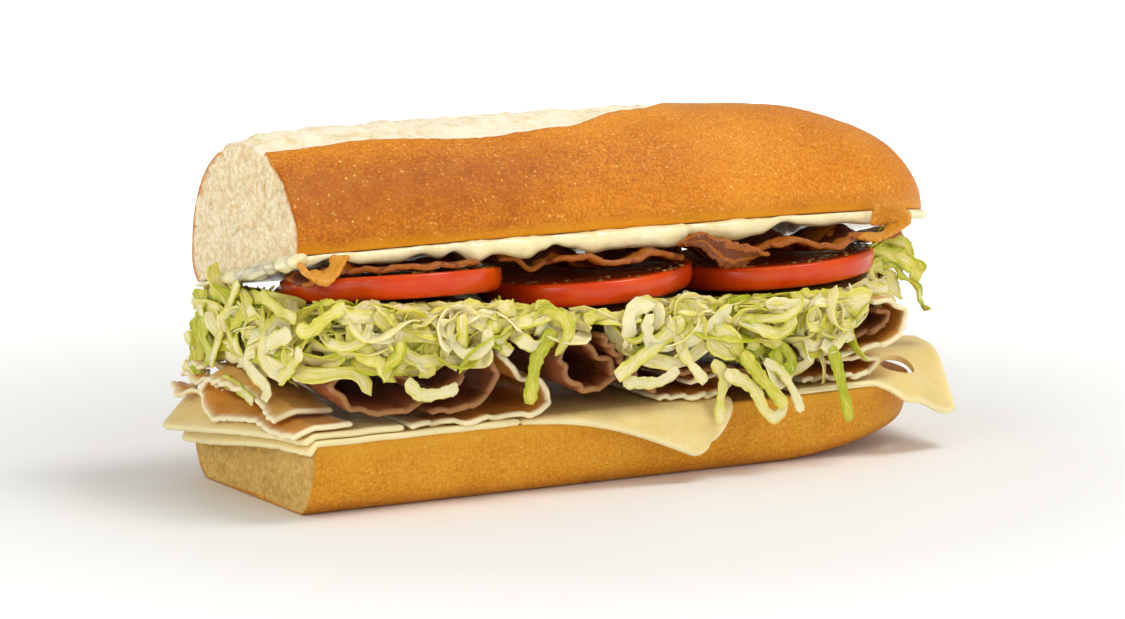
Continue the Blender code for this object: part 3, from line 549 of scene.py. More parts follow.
def new_group(name: str, inputs: dict[str, float], outputs: Sequence[str]) -> tuple[Wires, Node, Node]:
    """An empty node group.

    Args:
        name: The group's name.
        inputs: Its inputs with their usual values.
        outputs: Its outputs.

    Returns:
        The wires, the input node and the output node.
    """
    tree = bpy.data.node_groups.new(name, "ShaderNodeTree")
    for label, usual in inputs.items():
        socket = tree.interface.new_socket(name=label, in_out="INPUT", socket_type="NodeSocketFloat")
        socket.default_value = usual
    for label in outputs:
        tree.interface.new_socket(name=label, in_out="OUTPUT", socket_type="NodeSocketFloat")
    wires = Wires(tree)
    return wires, wires.add("NodeGroupInput"), wires.add("NodeGroupOutput")


def scaled_place(wires: Wires, size: Any) -> Socket:
    """The place of a point counted in lumps of the given size in millimetres."""
    per_lump = wires.math("DIVIDE", 1.0 / MM, size)
    sockets = {0: wires.place(), "Scale": per_lump}
    return wires.add("ShaderNodeVectorMath", sockets, operation="SCALE").outputs[0]


def mottle_group() -> Tree:
    """Soft uneven patches: Size in millimetres, Detail and Contrast give Mask."""
    usual = {"Size": 10.0, "Detail": 3.0, "Contrast": 2.0, "Seed": 0.0}
    wires, given, out = new_group("mottle", usual, ["Mask"])
    place = scaled_place(wires, given.outputs["Size"])
    where = wires.add("ShaderNodeVectorMath", {0: place}, operation="ADD")
    shift = wires.add("ShaderNodeCombineXYZ", {0: given.outputs["Seed"]})
    wires.tree.links.new(shift.outputs[0], where.inputs[1])
    lumps = wires.add("ShaderNodeTexNoise", {"Vector": where.outputs[0], "Scale": 1.0,
                                             "Detail": given.outputs["Detail"], "Roughness": 0.6})
    spread = wires.sway(lumps.outputs[0], given.outputs["Contrast"])
    wires.tree.links.new(wires.plus(spread, 0.5, limit=True), out.inputs["Mask"])
    return wires.tree


def speck_group() -> Tree:
    """Small round dots: Spacing in millimetres, Radius and Share give Mask."""
    wires, given, out = new_group("specks", {"Spacing": 4.0, "Radius": 0.2, "Share": 0.5}, ["Mask"])
    where = scaled_place(wires, given.outputs["Spacing"])
    cells = wires.add("ShaderNodeTexVoronoi", {"Vector": where, "Scale": 1.0})
    drawn = wires.add("ShaderNodeSeparateColor", {0: cells.outputs["Color"]})
    kept = wires.math("LESS_THAN", drawn.outputs[0], given.outputs["Share"])
    reach = wires.times(given.outputs["Radius"], wires.plus(drawn.outputs[1], 0.35))
    inside = wires.minus(reach, cells.outputs["Distance"])
    soft = wires.times(wires.math("DIVIDE", inside, given.outputs["Radius"]), 3.0, limit=True)
    wires.tree.links.new(wires.times(soft, kept), out.inputs["Mask"])
    return wires.tree


def pore_group() -> Tree:
    """Open bread crumb: Size in millimetres gives Height, and Tone, a painted shade that darkens its pits."""
    wires, given, out = new_group("pores", {"Size": 2.0}, ["Height", "Tone"])
    where = scaled_place(wires, given.outputs["Size"])
    lumps = wires.add("ShaderNodeTexNoise", {"Vector": where, "Scale": 1.0, "Detail": 4.0, "Roughness": 0.65})
    where = scaled_place(wires, given.outputs["Size"])
    bubbles = wires.add("ShaderNodeTexVoronoi", {"Vector": where, "Scale": 0.8}, feature="SMOOTH_F1")
    walls = wires.times(bubbles.outputs["Distance"], 0.8)
    height = wires.plus(walls, lumps.outputs[0])
    wires.tree.links.new(height, out.inputs["Height"])
    # Painted shade: Tone darkens where the relief sinks into pits.
    tone = wires.times(wires.minus(height, 0.62), 2.2, limit=True)
    wires.tree.links.new(tone, out.inputs["Tone"])
    return wires.tree


@dataclass(frozen=True)
class Effects:
    """The node groups that the finishes share."""

    mottle: Tree
    specks: Tree
    pores: Tree

    @classmethod
    def make(cls) -> "Effects":
        """Build each group once."""
        return cls(mottle_group(), speck_group(), pore_group())


@dataclass(frozen=True)
class Finish:
    """What every finish of the sandwich has."""

    name: str
    roughness: float
    coat: float = 0.0
    shine: float = 0.5
    soft: float = 0.0
    soft_reach: float = 2.0
    soft_tint: tuple[float, float, float] = (1.0, 0.8, 0.5)

    def make(self, effects: Effects) -> Material:
        """Build the material.

        Args:
            effects: The shared node groups.

        Returns:
            The material.
        """
        made = bpy.data.materials.new(self.name)
        made.use_nodes = True
        shader = made.node_tree.nodes["Principled BSDF"]
        plain = {"Roughness": self.roughness, "Metallic": 0.0, "Specular IOR Level": self.shine,
                 "Coat Weight": self.coat, "Coat Roughness": 0.18, "Subsurface Weight": self.soft,
                 "Subsurface Radius": self.soft_tint, "Subsurface Scale": self.soft_reach * MM}
        for name, value in plain.items():
            shader.inputs[name].default_value = value
        self.wire(Wires(made.node_tree), shader, effects)
        return made

    def wire(self, wires: Wires, shader: Node, effects: Effects) -> None:
        """Add the nodes that give this finish its look.

        Args:
            wires: The material's wires.
            shader: Its Principled shader.
            effects: The shared node groups.
        """
        raise NotImplementedError(self.name)

    def finish(self, wires: Wires, shader: Node, colour: Socket,
               height: Socket, depth: float, gloss: Any = None) -> None:
        """Wire the colour, the relief and the gloss to the shader.

        Args:
            wires: The material's wires.
            shader: Its Principled shader.
            colour: The colour over the surface.
            height: The relief, from 0 to 1.
            depth: How deep the relief is, in millimetres.
            gloss: The roughness over the surface, if it changes.
        """
        bump = wires.add("ShaderNodeBump", {"Height": height, "Strength": 1.0, "Distance": depth * MM})
        wires.tree.links.new(colour, shader.inputs["Base Color"])
        wires.tree.links.new(bump.outputs[0], shader.inputs["Normal"])
        if gloss is not None:
            wires.tree.links.new(gloss, shader.inputs["Roughness"])


@dataclass(frozen=True)
class BreadFinish(Finish):
    """Browned crust with painted shade and painted highlight, open crumb with painted shade in its pits where
    the bread is cut, and the pale split.
    """

    light: Colour = (232, 154, 48)
    middle: Colour = (208, 122, 14)
    dark: Colour = (164, 80, 0)
    rim: Colour = (224, 150, 22)
    speck: Colour = (246, 196, 104)
    crumb_light: Colour = (254, 244, 212)
    # crumb_pit_shade: the painted shade colour of the crumb's pits and holes.
    crumb_pit_shade: Colour = (216, 180, 118)
    flour: float = 0.25

    def wire(self, wires: Wires, shader: Node, effects: Effects) -> None:
        """Wire crust, crumb and split over one another."""
        patches = wires.mottle(effects, 26.0, 3.0, 1.6)
        grain = wires.mottle(effects, 0.8, 3.0, 3.0, 3.0)
        cloud = wires.mottle(effects, 5.5, 4.0, 2.4, 9.0)
        small = wires.group(effects.specks, spacing=1.3, radius=0.26, share=0.5).outputs[0]
        large = wires.group(effects.specks, spacing=2.3, radius=0.15, share=0.36).outputs[0]
        # bake holds the crust's browning together with painted shade and painted highlight.
        bake_and_shade_mottled = wires.plus(wires.value("bake"), wires.sway(patches, 0.45))
        grainy = wires.plus(bake_and_shade_mottled, wires.sway(grain, 0.62), limit=True)
        upper = wires.times(grainy, 2.0, limit=True)
        lower = wires.sway(grainy, 2.0, limit=True)
        crust = wires.blend(lower, wires.blend(upper, self.light, self.middle), self.dark)
        crust = wires.blend(wires.times(cloud, self.flour), crust, self.light)
        crust = wires.blend(wires.times(small, wires.times(cloud, 0.8)), crust, self.speck)
        crust = wires.blend(wires.times(large, 0.8), crust, self.speck)
        crust = wires.blend(wires.value("rim"), crust, self.rim)
        pores = wires.group(effects.pores, size=1.2)
        fine = wires.group(effects.pores, size=0.5)
        # Painted shade: the crumb darkens in its pits and in the deep holes.
        painted_pit_shade = wires.math("MAXIMUM", pores.outputs["Tone"], wires.value("hole"))
        tone = wires.plus(wires.times(painted_pit_shade, 0.6), wires.times(fine.outputs["Tone"], 0.3), limit=True)
        crumb = wires.blend(tone, self.crumb_light, self.crumb_pit_shade)
        flecks = wires.times(wires.math("POWER", cloud, 3.0), wires.value("fleck"))
        split = wires.blend(flecks, (252, 241, 212), (226, 192, 118))
        colour = wires.blend(wires.value("crumb"), crust, crumb)
        colour = wires.blend(wires.value("split"), colour, split)
        open_crumb = wires.plus(wires.value("crumb"), wires.times(wires.value("split"), 0.4), limit=True)
        crumb_relief = wires.minus(1.0, wires.times(pores.outputs["Height"], 0.6))
        crumb_relief = wires.plus(crumb_relief, wires.times(fine.outputs["Height"], -0.35))
        crust_relief = wires.plus(wires.times(grain, 0.12), wires.times(large, 0.16))
        crust_relief = wires.plus(crust_relief, wires.times(cloud, 0.12))
        relief = wires.plus(wires.times(crumb_relief, open_crumb),
                            wires.times(crust_relief, wires.minus(1.0, open_crumb)))
        gloss = wires.plus(self.roughness, wires.times(open_crumb, 0.35))
        self.finish(wires, shader, colour, relief, 0.7, gloss)


@dataclass(frozen=True)
class SliceFinish(Finish):
    """A thin slice whose cut rim has another colour than its faces."""

    face: Colour = (240, 226, 170)
    face_deep: Colour = (226, 206, 140)
    under: Colour = (240, 226, 170)
    rim: Colour = (248, 240, 200)
    rim_share: float = 1.0
    patch: float = 9.0
    grain: float = 1.0
    depth: float = 0.25

    def wire(self, wires: Wires, shader: Node, effects: Effects) -> None:
        """Wire the two faces and the rim."""
        patches = wires.mottle(effects, self.patch, 4.0, 2.6)
        grain = wires.mottle(effects, self.grain, 3.0, 2.0, 5.0)
        face = wires.blend(patches, self.face, self.face_deep)
        face = wires.blend(wires.times(grain, 0.3), face, self.face_deep)
        under = wires.blend(wires.times(patches, 0.6), self.under, self.face_deep)
        colour = wires.blend(wires.value("under"), face, under)
        near_rim = wires.math("POWER", wires.value("edge"), 2.5)
        colour = wires.blend(wires.times(near_rim, self.rim_share), colour, self.rim)
        relief = wires.plus(wires.times(patches, 0.5), wires.times(grain, 0.5))
        self.finish(wires, shader, colour, relief, self.depth)


@dataclass(frozen=True)
class LeafFinish(Finish):
    """Iceberg lettuce, from white rib to green leaf, streaked along each shred, with a dark olive painted
    shade on the core seen between the shreds.
    """

    white: Colour = (252, 238, 184)
    pale: Colour = (226, 212, 92)
    green: Colour = (170, 178, 18)
    # deep: the painted shade colour of the core between the shreds.
    deep: Colour = (128, 84, 10)

    def wire(self, wires: Wires, shader: Node, effects: Effects) -> None:
        """Wire the streaks and the tint of the shreds."""
        patches = wires.mottle(effects, 6.0, 3.0, 2.4)
        where = wires.add("ShaderNodeCombineXYZ", {0: wires.times(wires.value("across"), 2.2),
                                                   1: wires.times(wires.value("along"), 3.5),
                                                   2: wires.times(wires.value("shred"), 9.0)}).outputs[0]
        streaks = wires.add("ShaderNodeTexNoise", {"Vector": where, "Scale": 1.6, "Detail": 4.0,
                                                   "Roughness": 0.6}).outputs[0]
        veins = wires.plus(wires.sway(streaks, 3.0), 0.5, limit=True)
        tint = wires.plus(wires.value("tint"), wires.sway(patches, 0.35))
        tint = wires.plus(tint, wires.sway(veins, 0.5), limit=True)
        first = wires.times(tint, 2.0, limit=True)
        second = wires.sway(tint, 2.0, limit=True)
        colour = wires.blend(second, wires.blend(first, self.white, self.pale), self.green)
        # Painted shade: buried turns the core dark olive.
        colour = wires.blend(wires.value("buried"), colour, self.deep)
        relief = wires.plus(wires.times(patches, 0.4), wires.times(veins, 0.6))
        self.finish(wires, shader, colour, relief, 0.22)


@dataclass(frozen=True)
class TomatoFinish(Finish):
    """Red skin round the rim and wet flesh on the cut faces."""

    skin: Colour = (204, 44, 0)
    skin_bright: Colour = (228, 92, 8)
    flesh: Colour = (170, 44, 2)
    flesh_pale: Colour = (206, 100, 34)

    def wire(self, wires: Wires, shader: Node, effects: Effects) -> None:
        """Wire the skin and the flesh."""
        patches = wires.mottle(effects, 12.0, 2.0, 1.8)
        cells = wires.mottle(effects, 2.2, 4.0, 2.6, 4.0)
        skin = wires.blend(wires.times(patches, 0.8), self.skin, self.skin_bright)
        flesh = wires.blend(wires.times(cells, 0.5), self.flesh, self.flesh_pale)
        colour = wires.blend(wires.value("flesh"), skin, flesh)
        relief = wires.times(cells, wires.value("flesh"))
        self.finish(wires, shader, colour, relief, 0.3)


@dataclass(frozen=True)
class BaconFinish(Finish):
    """Fried bacon: lean and fat in bands along the strip, crisp at its edges."""

    lean: Colour = (98, 22, 0)
    lean_dark: Colour = (48, 8, 0)
    fat: Colour = (222, 128, 14)
    crisp: Colour = (176, 88, 34)

    def wire(self, wires: Wires, shader: Node, effects: Effects) -> None:
        """Wire the bands of lean and fat."""
        patches = wires.mottle(effects, 7.0, 3.0, 2.4)
        bubbles = wires.mottle(effects, 1.1, 3.0, 3.0, 6.0)
        warp = wires.sway(patches, 0.7)
        across = wires.plus(wires.value("across"), warp)
        stripes = wires.math("SINE", wires.times(across, 5.2))
        fatty = wires.times(wires.plus(stripes, -0.15), 2.2, limit=True)
        fatty = wires.math("MAXIMUM", wires.times(fatty, 0.5), wires.value("fat"))
        lean = wires.blend(patches, self.lean, self.lean_dark)
        colour = wires.blend(fatty, lean, self.fat)
        near_rim = wires.times(wires.math("POWER", wires.value("edge"), 2.0), bubbles)
        colour = wires.blend(wires.times(near_rim, 0.5), colour, self.crisp)
        relief = wires.plus(wires.times(bubbles, 0.6), wires.times(patches, 0.4))
        self.finish(wires, shader, colour, relief, 0.6)


@dataclass(frozen=True)
class CreamFinish(Finish):
    """Mayonnaise, and in other colours any smooth spread."""

    thick: Colour = (250, 238, 196)
    thin: Colour = (238, 218, 160)

    def wire(self, wires: Wires, shader: Node, effects: Effects) -> None:
        """Wire the two tints of the cream."""
        patches = wires.mottle(effects, 6.0, 2.0, 1.6)
        colour = wires.blend(patches, self.thick, self.thin)
        self.finish(wires, shader, colour, patches, 0.5)


@dataclass(frozen=True)
class HerbFinish(Finish):
    """Dried herb flakes, from straw to dull green."""

    straw: Colour = (226, 186, 96)
    brown: Colour = (150, 92, 26)
    green: Colour = (112, 108, 40)

    def wire(self, wires: Wires, shader: Node, effects: Effects) -> None:
        """Wire the colour of each kind of flake."""
        grain = wires.mottle(effects, 0.5, 2.0, 2.0)
        kind = wires.value("kind")
        colour = wires.blend(wires.times(kind, 2.0, limit=True), self.straw, self.brown)
        colour = wires.blend(wires.math("GREATER_THAN", kind, 0.7), colour, self.green)
        colour = wires.blend(wires.times(grain, 0.35), colour, self.straw)
        self.finish(wires, shader, colour, grain, 0.15)


@dataclass(frozen=True)
class FloorFinish(Finish):
    """A plain pale floor that lightens to white away from the sandwich."""

    shade: Colour = (248, 247, 244)
    glow: Colour = (238, 238, 238)
    near: float = 0.14
    fade: float = 0.5

    def wire(self, wires: Wires, shader: Node, effects: Effects) -> None:
        """Wire the floor and its growing glow."""
        patches = wires.mottle(effects, 400.0, 1.0, 0.5)
        colour = wires.blend(wires.times(patches, 0.1), self.shade, (240, 240, 238))
        away = wires.add("ShaderNodeVectorMath", {0: wires.place()}, operation="LENGTH").outputs["Value"]
        far = wires.times(wires.minus(away, self.near), 1.0 / self.fade, limit=True)
        glow = wires.blend(far, (0, 0, 0), self.glow)
        wires.tree.links.new(glow, shader.inputs["Emission Color"])
        shader.inputs["Emission Strength"].default_value = 1.0
        self.finish(wires, shader, colour, patches, 0.01)


class Part:
    """A part of the sandwich that is built as one piece."""

    def build(self, finish: Material) -> Piece:
        """Make the piece.

        Args:
            finish: Its material.

        Returns:
            The piece.
        """
        raise NotImplementedError(type(self).__name__)


@dataclass
class Pore:
    """A round or upright hole in the crumb of a cut face."""

    y: float
    z: float
    radius: float
    tall: float
    depth: float


def crumb_pores(low: Sequence[float], high: Sequence[float], count: int, seed: int) -> list[Pore]:
    """Scatter holes over a cut face, many small and a few large.

    Args:
        low: The least y and z.
        high: The greatest y and z.
        count: How many holes.
        seed: The seed of the scatter.

    Returns:
        The holes.
    """
    rng = random.Random(seed)
    made = []
    for _ in range(count):
        radius = 0.3 + 1.3 * rng.random() ** 3.5
        y = rng.uniform(low[0], high[0])
        z = rng.uniform(low[1], high[1])
        made.append(Pore(y, z, radius, rng.uniform(1.0, 2.2), radius * rng.uniform(0.5, 1.1)))
    return made


def cut_face(ring: Array, crusty: Array, pores: Sequence[Pore], rows: int,
             tear: float) -> tuple[Array, Array, Array]:
    """The torn crumb inside a ring at the cut end.

    Args:
        ring: The ring's points.
        crusty: For each of them 1 where it is crust and 0 where it is crumb.
        pores: The holes in the crumb.
        rows: How many rings lead to the middle.
        tear: How rough the crumb is, in millimetres.

    Returns:
        The points from the middle out, how much of each is crumb and how
        deep in a hole it lies (painted as shade in the pits), each as rows of rings.
    """
    centre = ring.mean(axis=0)
    shares = 1.0 - np.linspace(0.0, 1.0, rows + 1)[1:] ** 0.8
    faces = centre + (ring[None] - centre) * shares[::-1, None, None]
    away = np.linalg.norm(faces - ring[None], axis=2)
    crumb = np.clip((away - 0.7) / 0.8, 0.0, 1.0)
    crumb = np.maximum(crumb, 1.0 - crusty[None])
    flat = faces.reshape(-1, 3)
    deep = np.zeros(len(flat))
    for pore in pores:
        across, up = (flat[:, 1] - pore.y) / pore.radius, (flat[:, 2] - pore.z) / (pore.radius * pore.tall)
        inside = np.clip(1.0 - (across ** 2 + up ** 2), 0.0, 1.0)
        deep = np.maximum(deep, inside ** 0.7 * pore.depth)
    waves = np.array([0.75 * rough(7.0, y, z, 6.0) + 0.45 * rough(3.0, y, z * 0.6, 2.2)
                      + 0.25 * rough(1.0, y, z, 1.0) for _, y, z in flat])
    inward = np.clip(away.ravel() / 1.6, 0.0, 1.0)
    flat[:, 0] += (tear * waves + 0.15 + deep) * inward
    return faces, crumb, np.clip(deep / 1.1, 0.0, 1.0).reshape(crumb.shape)


def half_turn(steps: int) -> list[tuple[float, float]]:
    """Cosines and sines over half a turn."""
    return [(cos(pi * k / steps), sin(pi * k / steps)) for k in range(steps + 1)]


def round_stations(start: float, tip: float, power: float, count: int, reach: float) -> list[float]:
    """Stations in x that crowd towards a rounded tip."""
    angles = [0.5 * pi * reach * k / count for k in range(1, count + 1)]
    return [start + (tip - start) * sin(a) ** (2.0 / power) for a in angles]


@dataclass
class Bread(Part):
    """What the two halves of the roll share: a rounded end and rings made into one body."""

    cut_x: float
    tip_x: float
    round_from: float
    round_power: float

    def roundness(self, x: float) -> float:
        """How far x lies into the rounded end, from 0 to 1."""
        return clamp((x - self.round_from) / (self.tip_x - self.round_from))

    def end(self, x: float) -> float:
        """How much of its full section the half has at x."""
        return (1.0 - self.roundness(x) ** self.round_power) ** (1.0 / self.round_power)

    def body(self, rings: Sequence[Array], values: Sequence[dict[str, Array]],
             pores: Sequence[Pore], tear: float) -> Shape:
        """Close rings with a torn face at the cut and a plain one at the tip.

        Args:
            rings: The rings' points, from the cut to the tip.
            values: For each ring its bake and painted shade, rim, split and crumb.
            pores: The holes of the cut face.
            tear: How rough the cut face is.

        Returns:
            The half's shape.
        """
        first = values[0]
        crusty = 1.0 - np.maximum(first["crumb"], first["split"])
        # hole: how deep in a hole each crumb point lies, painted as shade.
        inner, crumb, hole = cut_face(rings[0], crusty, pores, CUT_RINGS, tear)
        count = len(rings[0])
        stack = list(inner) + list(rings)
        tip = rings[-1]
        stack += [tip + (tip.mean(axis=0) - tip) * share for share in (0.25, 0.5, 0.75, 0.97)]
        named: dict[str, Array] = {}
        for key in ("bake", "rim", "split", "crumb", "hole", "fleck"):
            start = np.tile(first.get(key, np.zeros(count)), (len(inner), 1))
            if key == "crumb":
                start = crumb
            elif key == "hole":
                start = hole
            elif key in ("split", "rim"):
                start = start * (1.0 - crumb)
            body = np.array([v.get(key, np.zeros(count)) for v in values])
            named[key] = np.concatenate([start, body, np.tile(body[-1], (4, 1))]).ravel()
        return Shape.of(np.concatenate(stack), bands(len(stack), count, ends=True), **named)


@dataclass
class UpperRoll(Bread):
    """The upper half of the roll, leaning back, with a pale split along it."""

    cut_x: float = -100.0
    tip_x: float = 113.0
    round_from: float = 30.0
    round_power: float = 2.4
    half_width: float = 38.0
    height: float = 37.0
    cut_half_width: float = 33.8
    cut_height: float = 34.0
    section_power: float = 2.1
    tuck: float = 0.07
    tuck_rise: float = 7.0
    edge_y: float = -34.0
    edge_z: float = 70.5
    lean: float = radians(13.8)
    score_end: float = 46.0
    score_step: float = 1.5

    def under_z(self, y: float) -> float:
        """Height of the flat underside at y."""
        return self.edge_z - tan(self.lean) * (y - self.edge_y)

    def size(self, x: float) -> tuple[float, float, float]:
        """Middle y, half width and height at x."""
        grow = smooth((x - self.cut_x) / 55.0)
        end = self.end(x)
        half = mix(self.cut_half_width, self.half_width, grow)
        return mix(2.5, 1.0, grow), half * end, mix(self.cut_height, self.height, grow) * end

    def place(self, x: float, u: float, v: float) -> Point:
        """A point from the half's own width u and height v."""
        middle = self.size(x)[0]
        c, s = cos(self.lean), sin(self.lean)
        return x, middle + c * u + s * v, self.under_z(middle) - s * u + c * v

    def split_band(self, x: float) -> tuple[float, float]:
        """The front edge and the width, in y, of the pale split."""
        edge = through([(-100, -9.5), (-80, -10.5), (-45, -18.4), (-12, -15.4), (14, -8.0), (46, 8)], x)
        edge += 0.6 * rough(x, 0.0, 3.0, 14.0) + 0.35 * rough(x, 0.0, 8.0, 3.0)
        width = through([(-100, 29), (-50, 34), (-12, 31), (14, 20), (30, 11), (self.score_end, 0.5)], x)
        return edge, width

    def swell(self, x: float) -> float:
        """How far the bread swells out of the split at x."""
        stops = [(-100, 0.6), (-90, 2.6), (-78, 2.4), (-62, 1.3), (-48, 0.5), (-20, 0.6), (30, 0.0)]
        return through(stops, x)

    def section(self, x: float) -> tuple[Array, Array, Array]:
        """The outline at x as (u, v) rows, its run and its y values."""
        _, half, tall = self.size(x)
        upper = []
        for c, s in half_turn(ARC_STEPS):
            v = tall * s ** (2.0 / self.section_power)
            u = -half * copysign(abs(c) ** (2.0 / self.section_power), c)
            upper.append((u * (1.0 - self.tuck * max(0.0, 1.0 - v / self.tuck_rise) ** 2), v))
        pts = np.array(upper)
        middle = self.size(x)[0]
        return pts, lengths(pts), middle + cos(self.lean) * pts[:, 0] + sin(self.lean) * pts[:, 1]

    def ring(self, x: float) -> tuple[Array, dict[str, Array]]:
        """The outline at x.

        Args:
            x: Where along the roll.

        Returns:
            The ring's points and what each of them carries.
        """
        half = self.size(x)[1]
        pts, run, ys = self.section(x)
        top = int(np.argmax(ys > ys.max() - 0.5))
        edge_y, width = self.split_band(x)
        shrink = clamp(half / 30.0)
        edge_y = mix(self.size(x)[0], edge_y, shrink)
        edge = float(np.interp(edge_y, ys[15:top], run[15:top]))
        far = max(float(np.interp(edge_y + width * shrink, ys[15:top], run[15:top])), edge + 1.6)
        open_share = smooth((self.score_end - x) / 30.0)
        step = self.score_step * open_share
        lip = min(0.9, 0.45 * (far - edge))
        marks = list(np.linspace(0.0, edge, 93)) + list(np.linspace(edge + 0.25 * lip, far, 49))
        marks += list(np.linspace(far, run[-1], 58))[1:]
        ring, bake, rim, split, fleck = [], [], [], [], []
        for mark in marks:
            u = float(np.interp(mark, run, pts[:, 0]))
            v = float(np.interp(mark, run, pts[:, 1]))
            fresh = smooth(v / 6.0)
            out = 0.6 * rough(x, u, v, 22.0) * fresh
            out += (0.14 * rough(x, u + v, 4.0, 3.4) + 0.07 * rough(x, u - v, 9.0, 1.3)) * smooth(v / 2.0)
            pale = 0.0
            if mark <= edge:
                out += 0.9 * open_share * smooth(1.0 - (edge - mark) / 9.0)
            elif mark < far:
                share = smooth(1.0 - (mark - edge - lip) / (far - edge))
                out -= step * share * smooth((mark - edge) / lip)
                crumbly = rough(x, u, 1.0, 5.0) + 0.8 * rough(x, u, 5.0, 1.6)
                out += 0.55 * step * crumbly
                out += self.swell(x) * sin(pi * clamp((mark - edge - lip) / (far - edge)))
                pale = smooth((mark - edge) / 0.5) * smooth((far - mark) / 1.6 + 0.6 * rough(x, u, 2.0, 4.0))
                pale *= smooth(open_share * 2.5)
            length = hypot(u, v)
            if length > 0.001:
                u *= 1.0 + out / max(length, 6.0)
                v *= 1.0 + out / max(length, 6.0)
            ring.append(self.place(x, u, v))
            bake.append(self.bake(x, mark / run[-1], edge - mark))
            rim.append(0.75 * smooth((3.4 - v + 0.8 * rough(x, 0.0, v, 7.0)) / 3.0))
            split.append(pale)
            fleck.append(0.9 if pale else 0.0)
        crumb = [0.0] * len(marks)
        for k in range(1, 30):
            ring.append(self.place(x, mix(pts[-1, 0], pts[0, 0], k / 30), 0.0))
            crumb.append(1.0)
            for numbers in (bake, rim, split, fleck):
                numbers.append(0.0)
        named = {"bake": bake, "rim": rim, "split": split, "fleck": fleck, "crumb": crumb}
        return np.array(ring)[::-1], {key: np.array(v)[::-1] for key, v in named.items()}

    def bake(self, x: float, round_share: float, below_lip: float) -> float:
        """How dark the crust is at x, by its share round the top from the front: browning with painted shade
        and a painted highlight.
        """
        # Painted shade: darker low on the front of the crust, strongest at the cut and fading out by x = 40;
        # the noise term is the crust's own browning.
        deep = 0.44 + 0.62 * smooth(1.0 - abs(round_share - 0.15) / 0.24) * smooth((40.0 - x) / 110.0)
        # Painted highlight: lighter within 14 mm below the split's front lip.
        deep -= 0.20 * smooth(1.0 - below_lip / 14.0) if below_lip > 0.0 else 0.0
        return clamp(deep + 0.10 * rough(x, round_share * 90.0, 5.0, 30.0))

    def build(self, finish: Material) -> Piece:
        """Make the upper half."""
        stations = list(np.linspace(self.cut_x, self.round_from, 118))
        stations += round_stations(self.round_from, self.tip_x, self.round_power, 52, 0.965)
        made = [self.ring(x) for x in stations]
        pores = crumb_pores((-34.0, 66.0), (38.0, 101.0), 420, 3)
        pores += [Pore(-7.7, 84.1, 1.7, 1.3, 2.2), Pore(-0.2, 73.9, 1.3, 1.2, 1.8)]
        shape = self.body([ring for ring, _ in made], [v for _, v in made], pores, 1.0)
        return shape.piece("upper_roll", finish, Slot.CRUST, "bun_top")


@dataclass
class LowerRoll(Bread):
    """The lower half of the roll, flat above and rounded towards its tip."""

    cut_x: float = -100.0
    tip_x: float = 104.0
    round_from: float = 50.0
    round_power: float = 2.6
    half_width: float = 38.5
    height: float = 20.0
    corner_power: float = 0.4
    belly: float = 22.5
    flare: float = 0.10
    lift_height: float = 8.0
    lift_power: float = 1.5

    def half(self, x: float) -> float:
        """Half the width at x."""
        return self.half_width * self.end(x)

    def lift(self, x: float) -> float:
        """Height of the underside at x."""
        return self.lift_height * self.roundness(x) ** self.lift_power

    def ring(self, x: float) -> tuple[Array, dict[str, Array]]:
        """The outline at x.

        Args:
            x: Where along the roll.

        Returns:
            The ring's points and what each of them carries.
        """
        half, lift = self.half(x), self.lift(x)
        wall = []
        for c, s in half_turn(ARC_STEPS):
            z = max(0.0, self.height - self.belly * abs(s) ** self.corner_power)
            y = -half * copysign(abs(c) ** self.corner_power, c)
            y *= 1.0 - self.flare * (self.height - z) / self.height
            wall.append((y, mix(lift, self.height, z / self.height)))
        ring, bake, rim, crumb = [], [], [], []
        for y, z in resample(wall, 150):
            mask = smooth((self.height - z) / 5.0) * smooth((z - lift) / 4.0)
            bump = 0.7 * mask * rough(x, y, z, 17.0)
            fine = 0.16 * rough(x, y, z, 3.2) + 0.07 * rough(x, y, z, 1.2)
            bump += smooth((self.height - z) / 1.5) * smooth((z - lift) / 2.0) * fine
            ring.append((x, y * (1.0 + bump / self.half_width), z))
            level = (z - lift) / max(self.height - lift, 1.0)
            # Darker towards the bottom of the wall and towards the tip.
            tone = 0.42 + 0.34 * smooth((0.30 - level) / 0.3) + 0.14 * smooth((x - 80.0) / 22.0)
            bake.append(clamp(tone + 0.12 * rough(x, y, z, 16.0)))
            rim.append(0.5 * smooth((level - 0.72) / 0.2))
            crumb.append(0.0)
        for k in range(1, 40):
            y = half * (1.0 - 2.0 * k / 40)
            ring.append((x, y, self.height - 0.25 * abs(rough(x, y, 0.0, 3.0))))
            baked_edge = smooth((x - 78.0) / 6.0)
            bake.append(0.62 * baked_edge)
            rim.append(0.0)
            crumb.append(1.0 - baked_edge)
        return np.array(ring), {"bake": np.array(bake), "rim": np.array(rim), "crumb": np.array(crumb),
                                "split": np.zeros(len(ring))}

    def build(self, finish: Material) -> Piece:
        """Make the lower half."""
        stations = list(np.linspace(self.cut_x, self.round_from, 150))
        stations += round_stations(self.round_from, self.tip_x, self.round_power, 44, 0.985)
        made = [self.ring(x) for x in stations]
        pores = crumb_pores((-37.0, 1.0), (37.0, 19.0), 230, 8)
        shape = self.body([ring for ring, _ in made], [v for _, v in made], pores, 0.9)
        return shape.piece("lower_roll", finish, Slot.LOWER_CRUST, "bun_bottom")


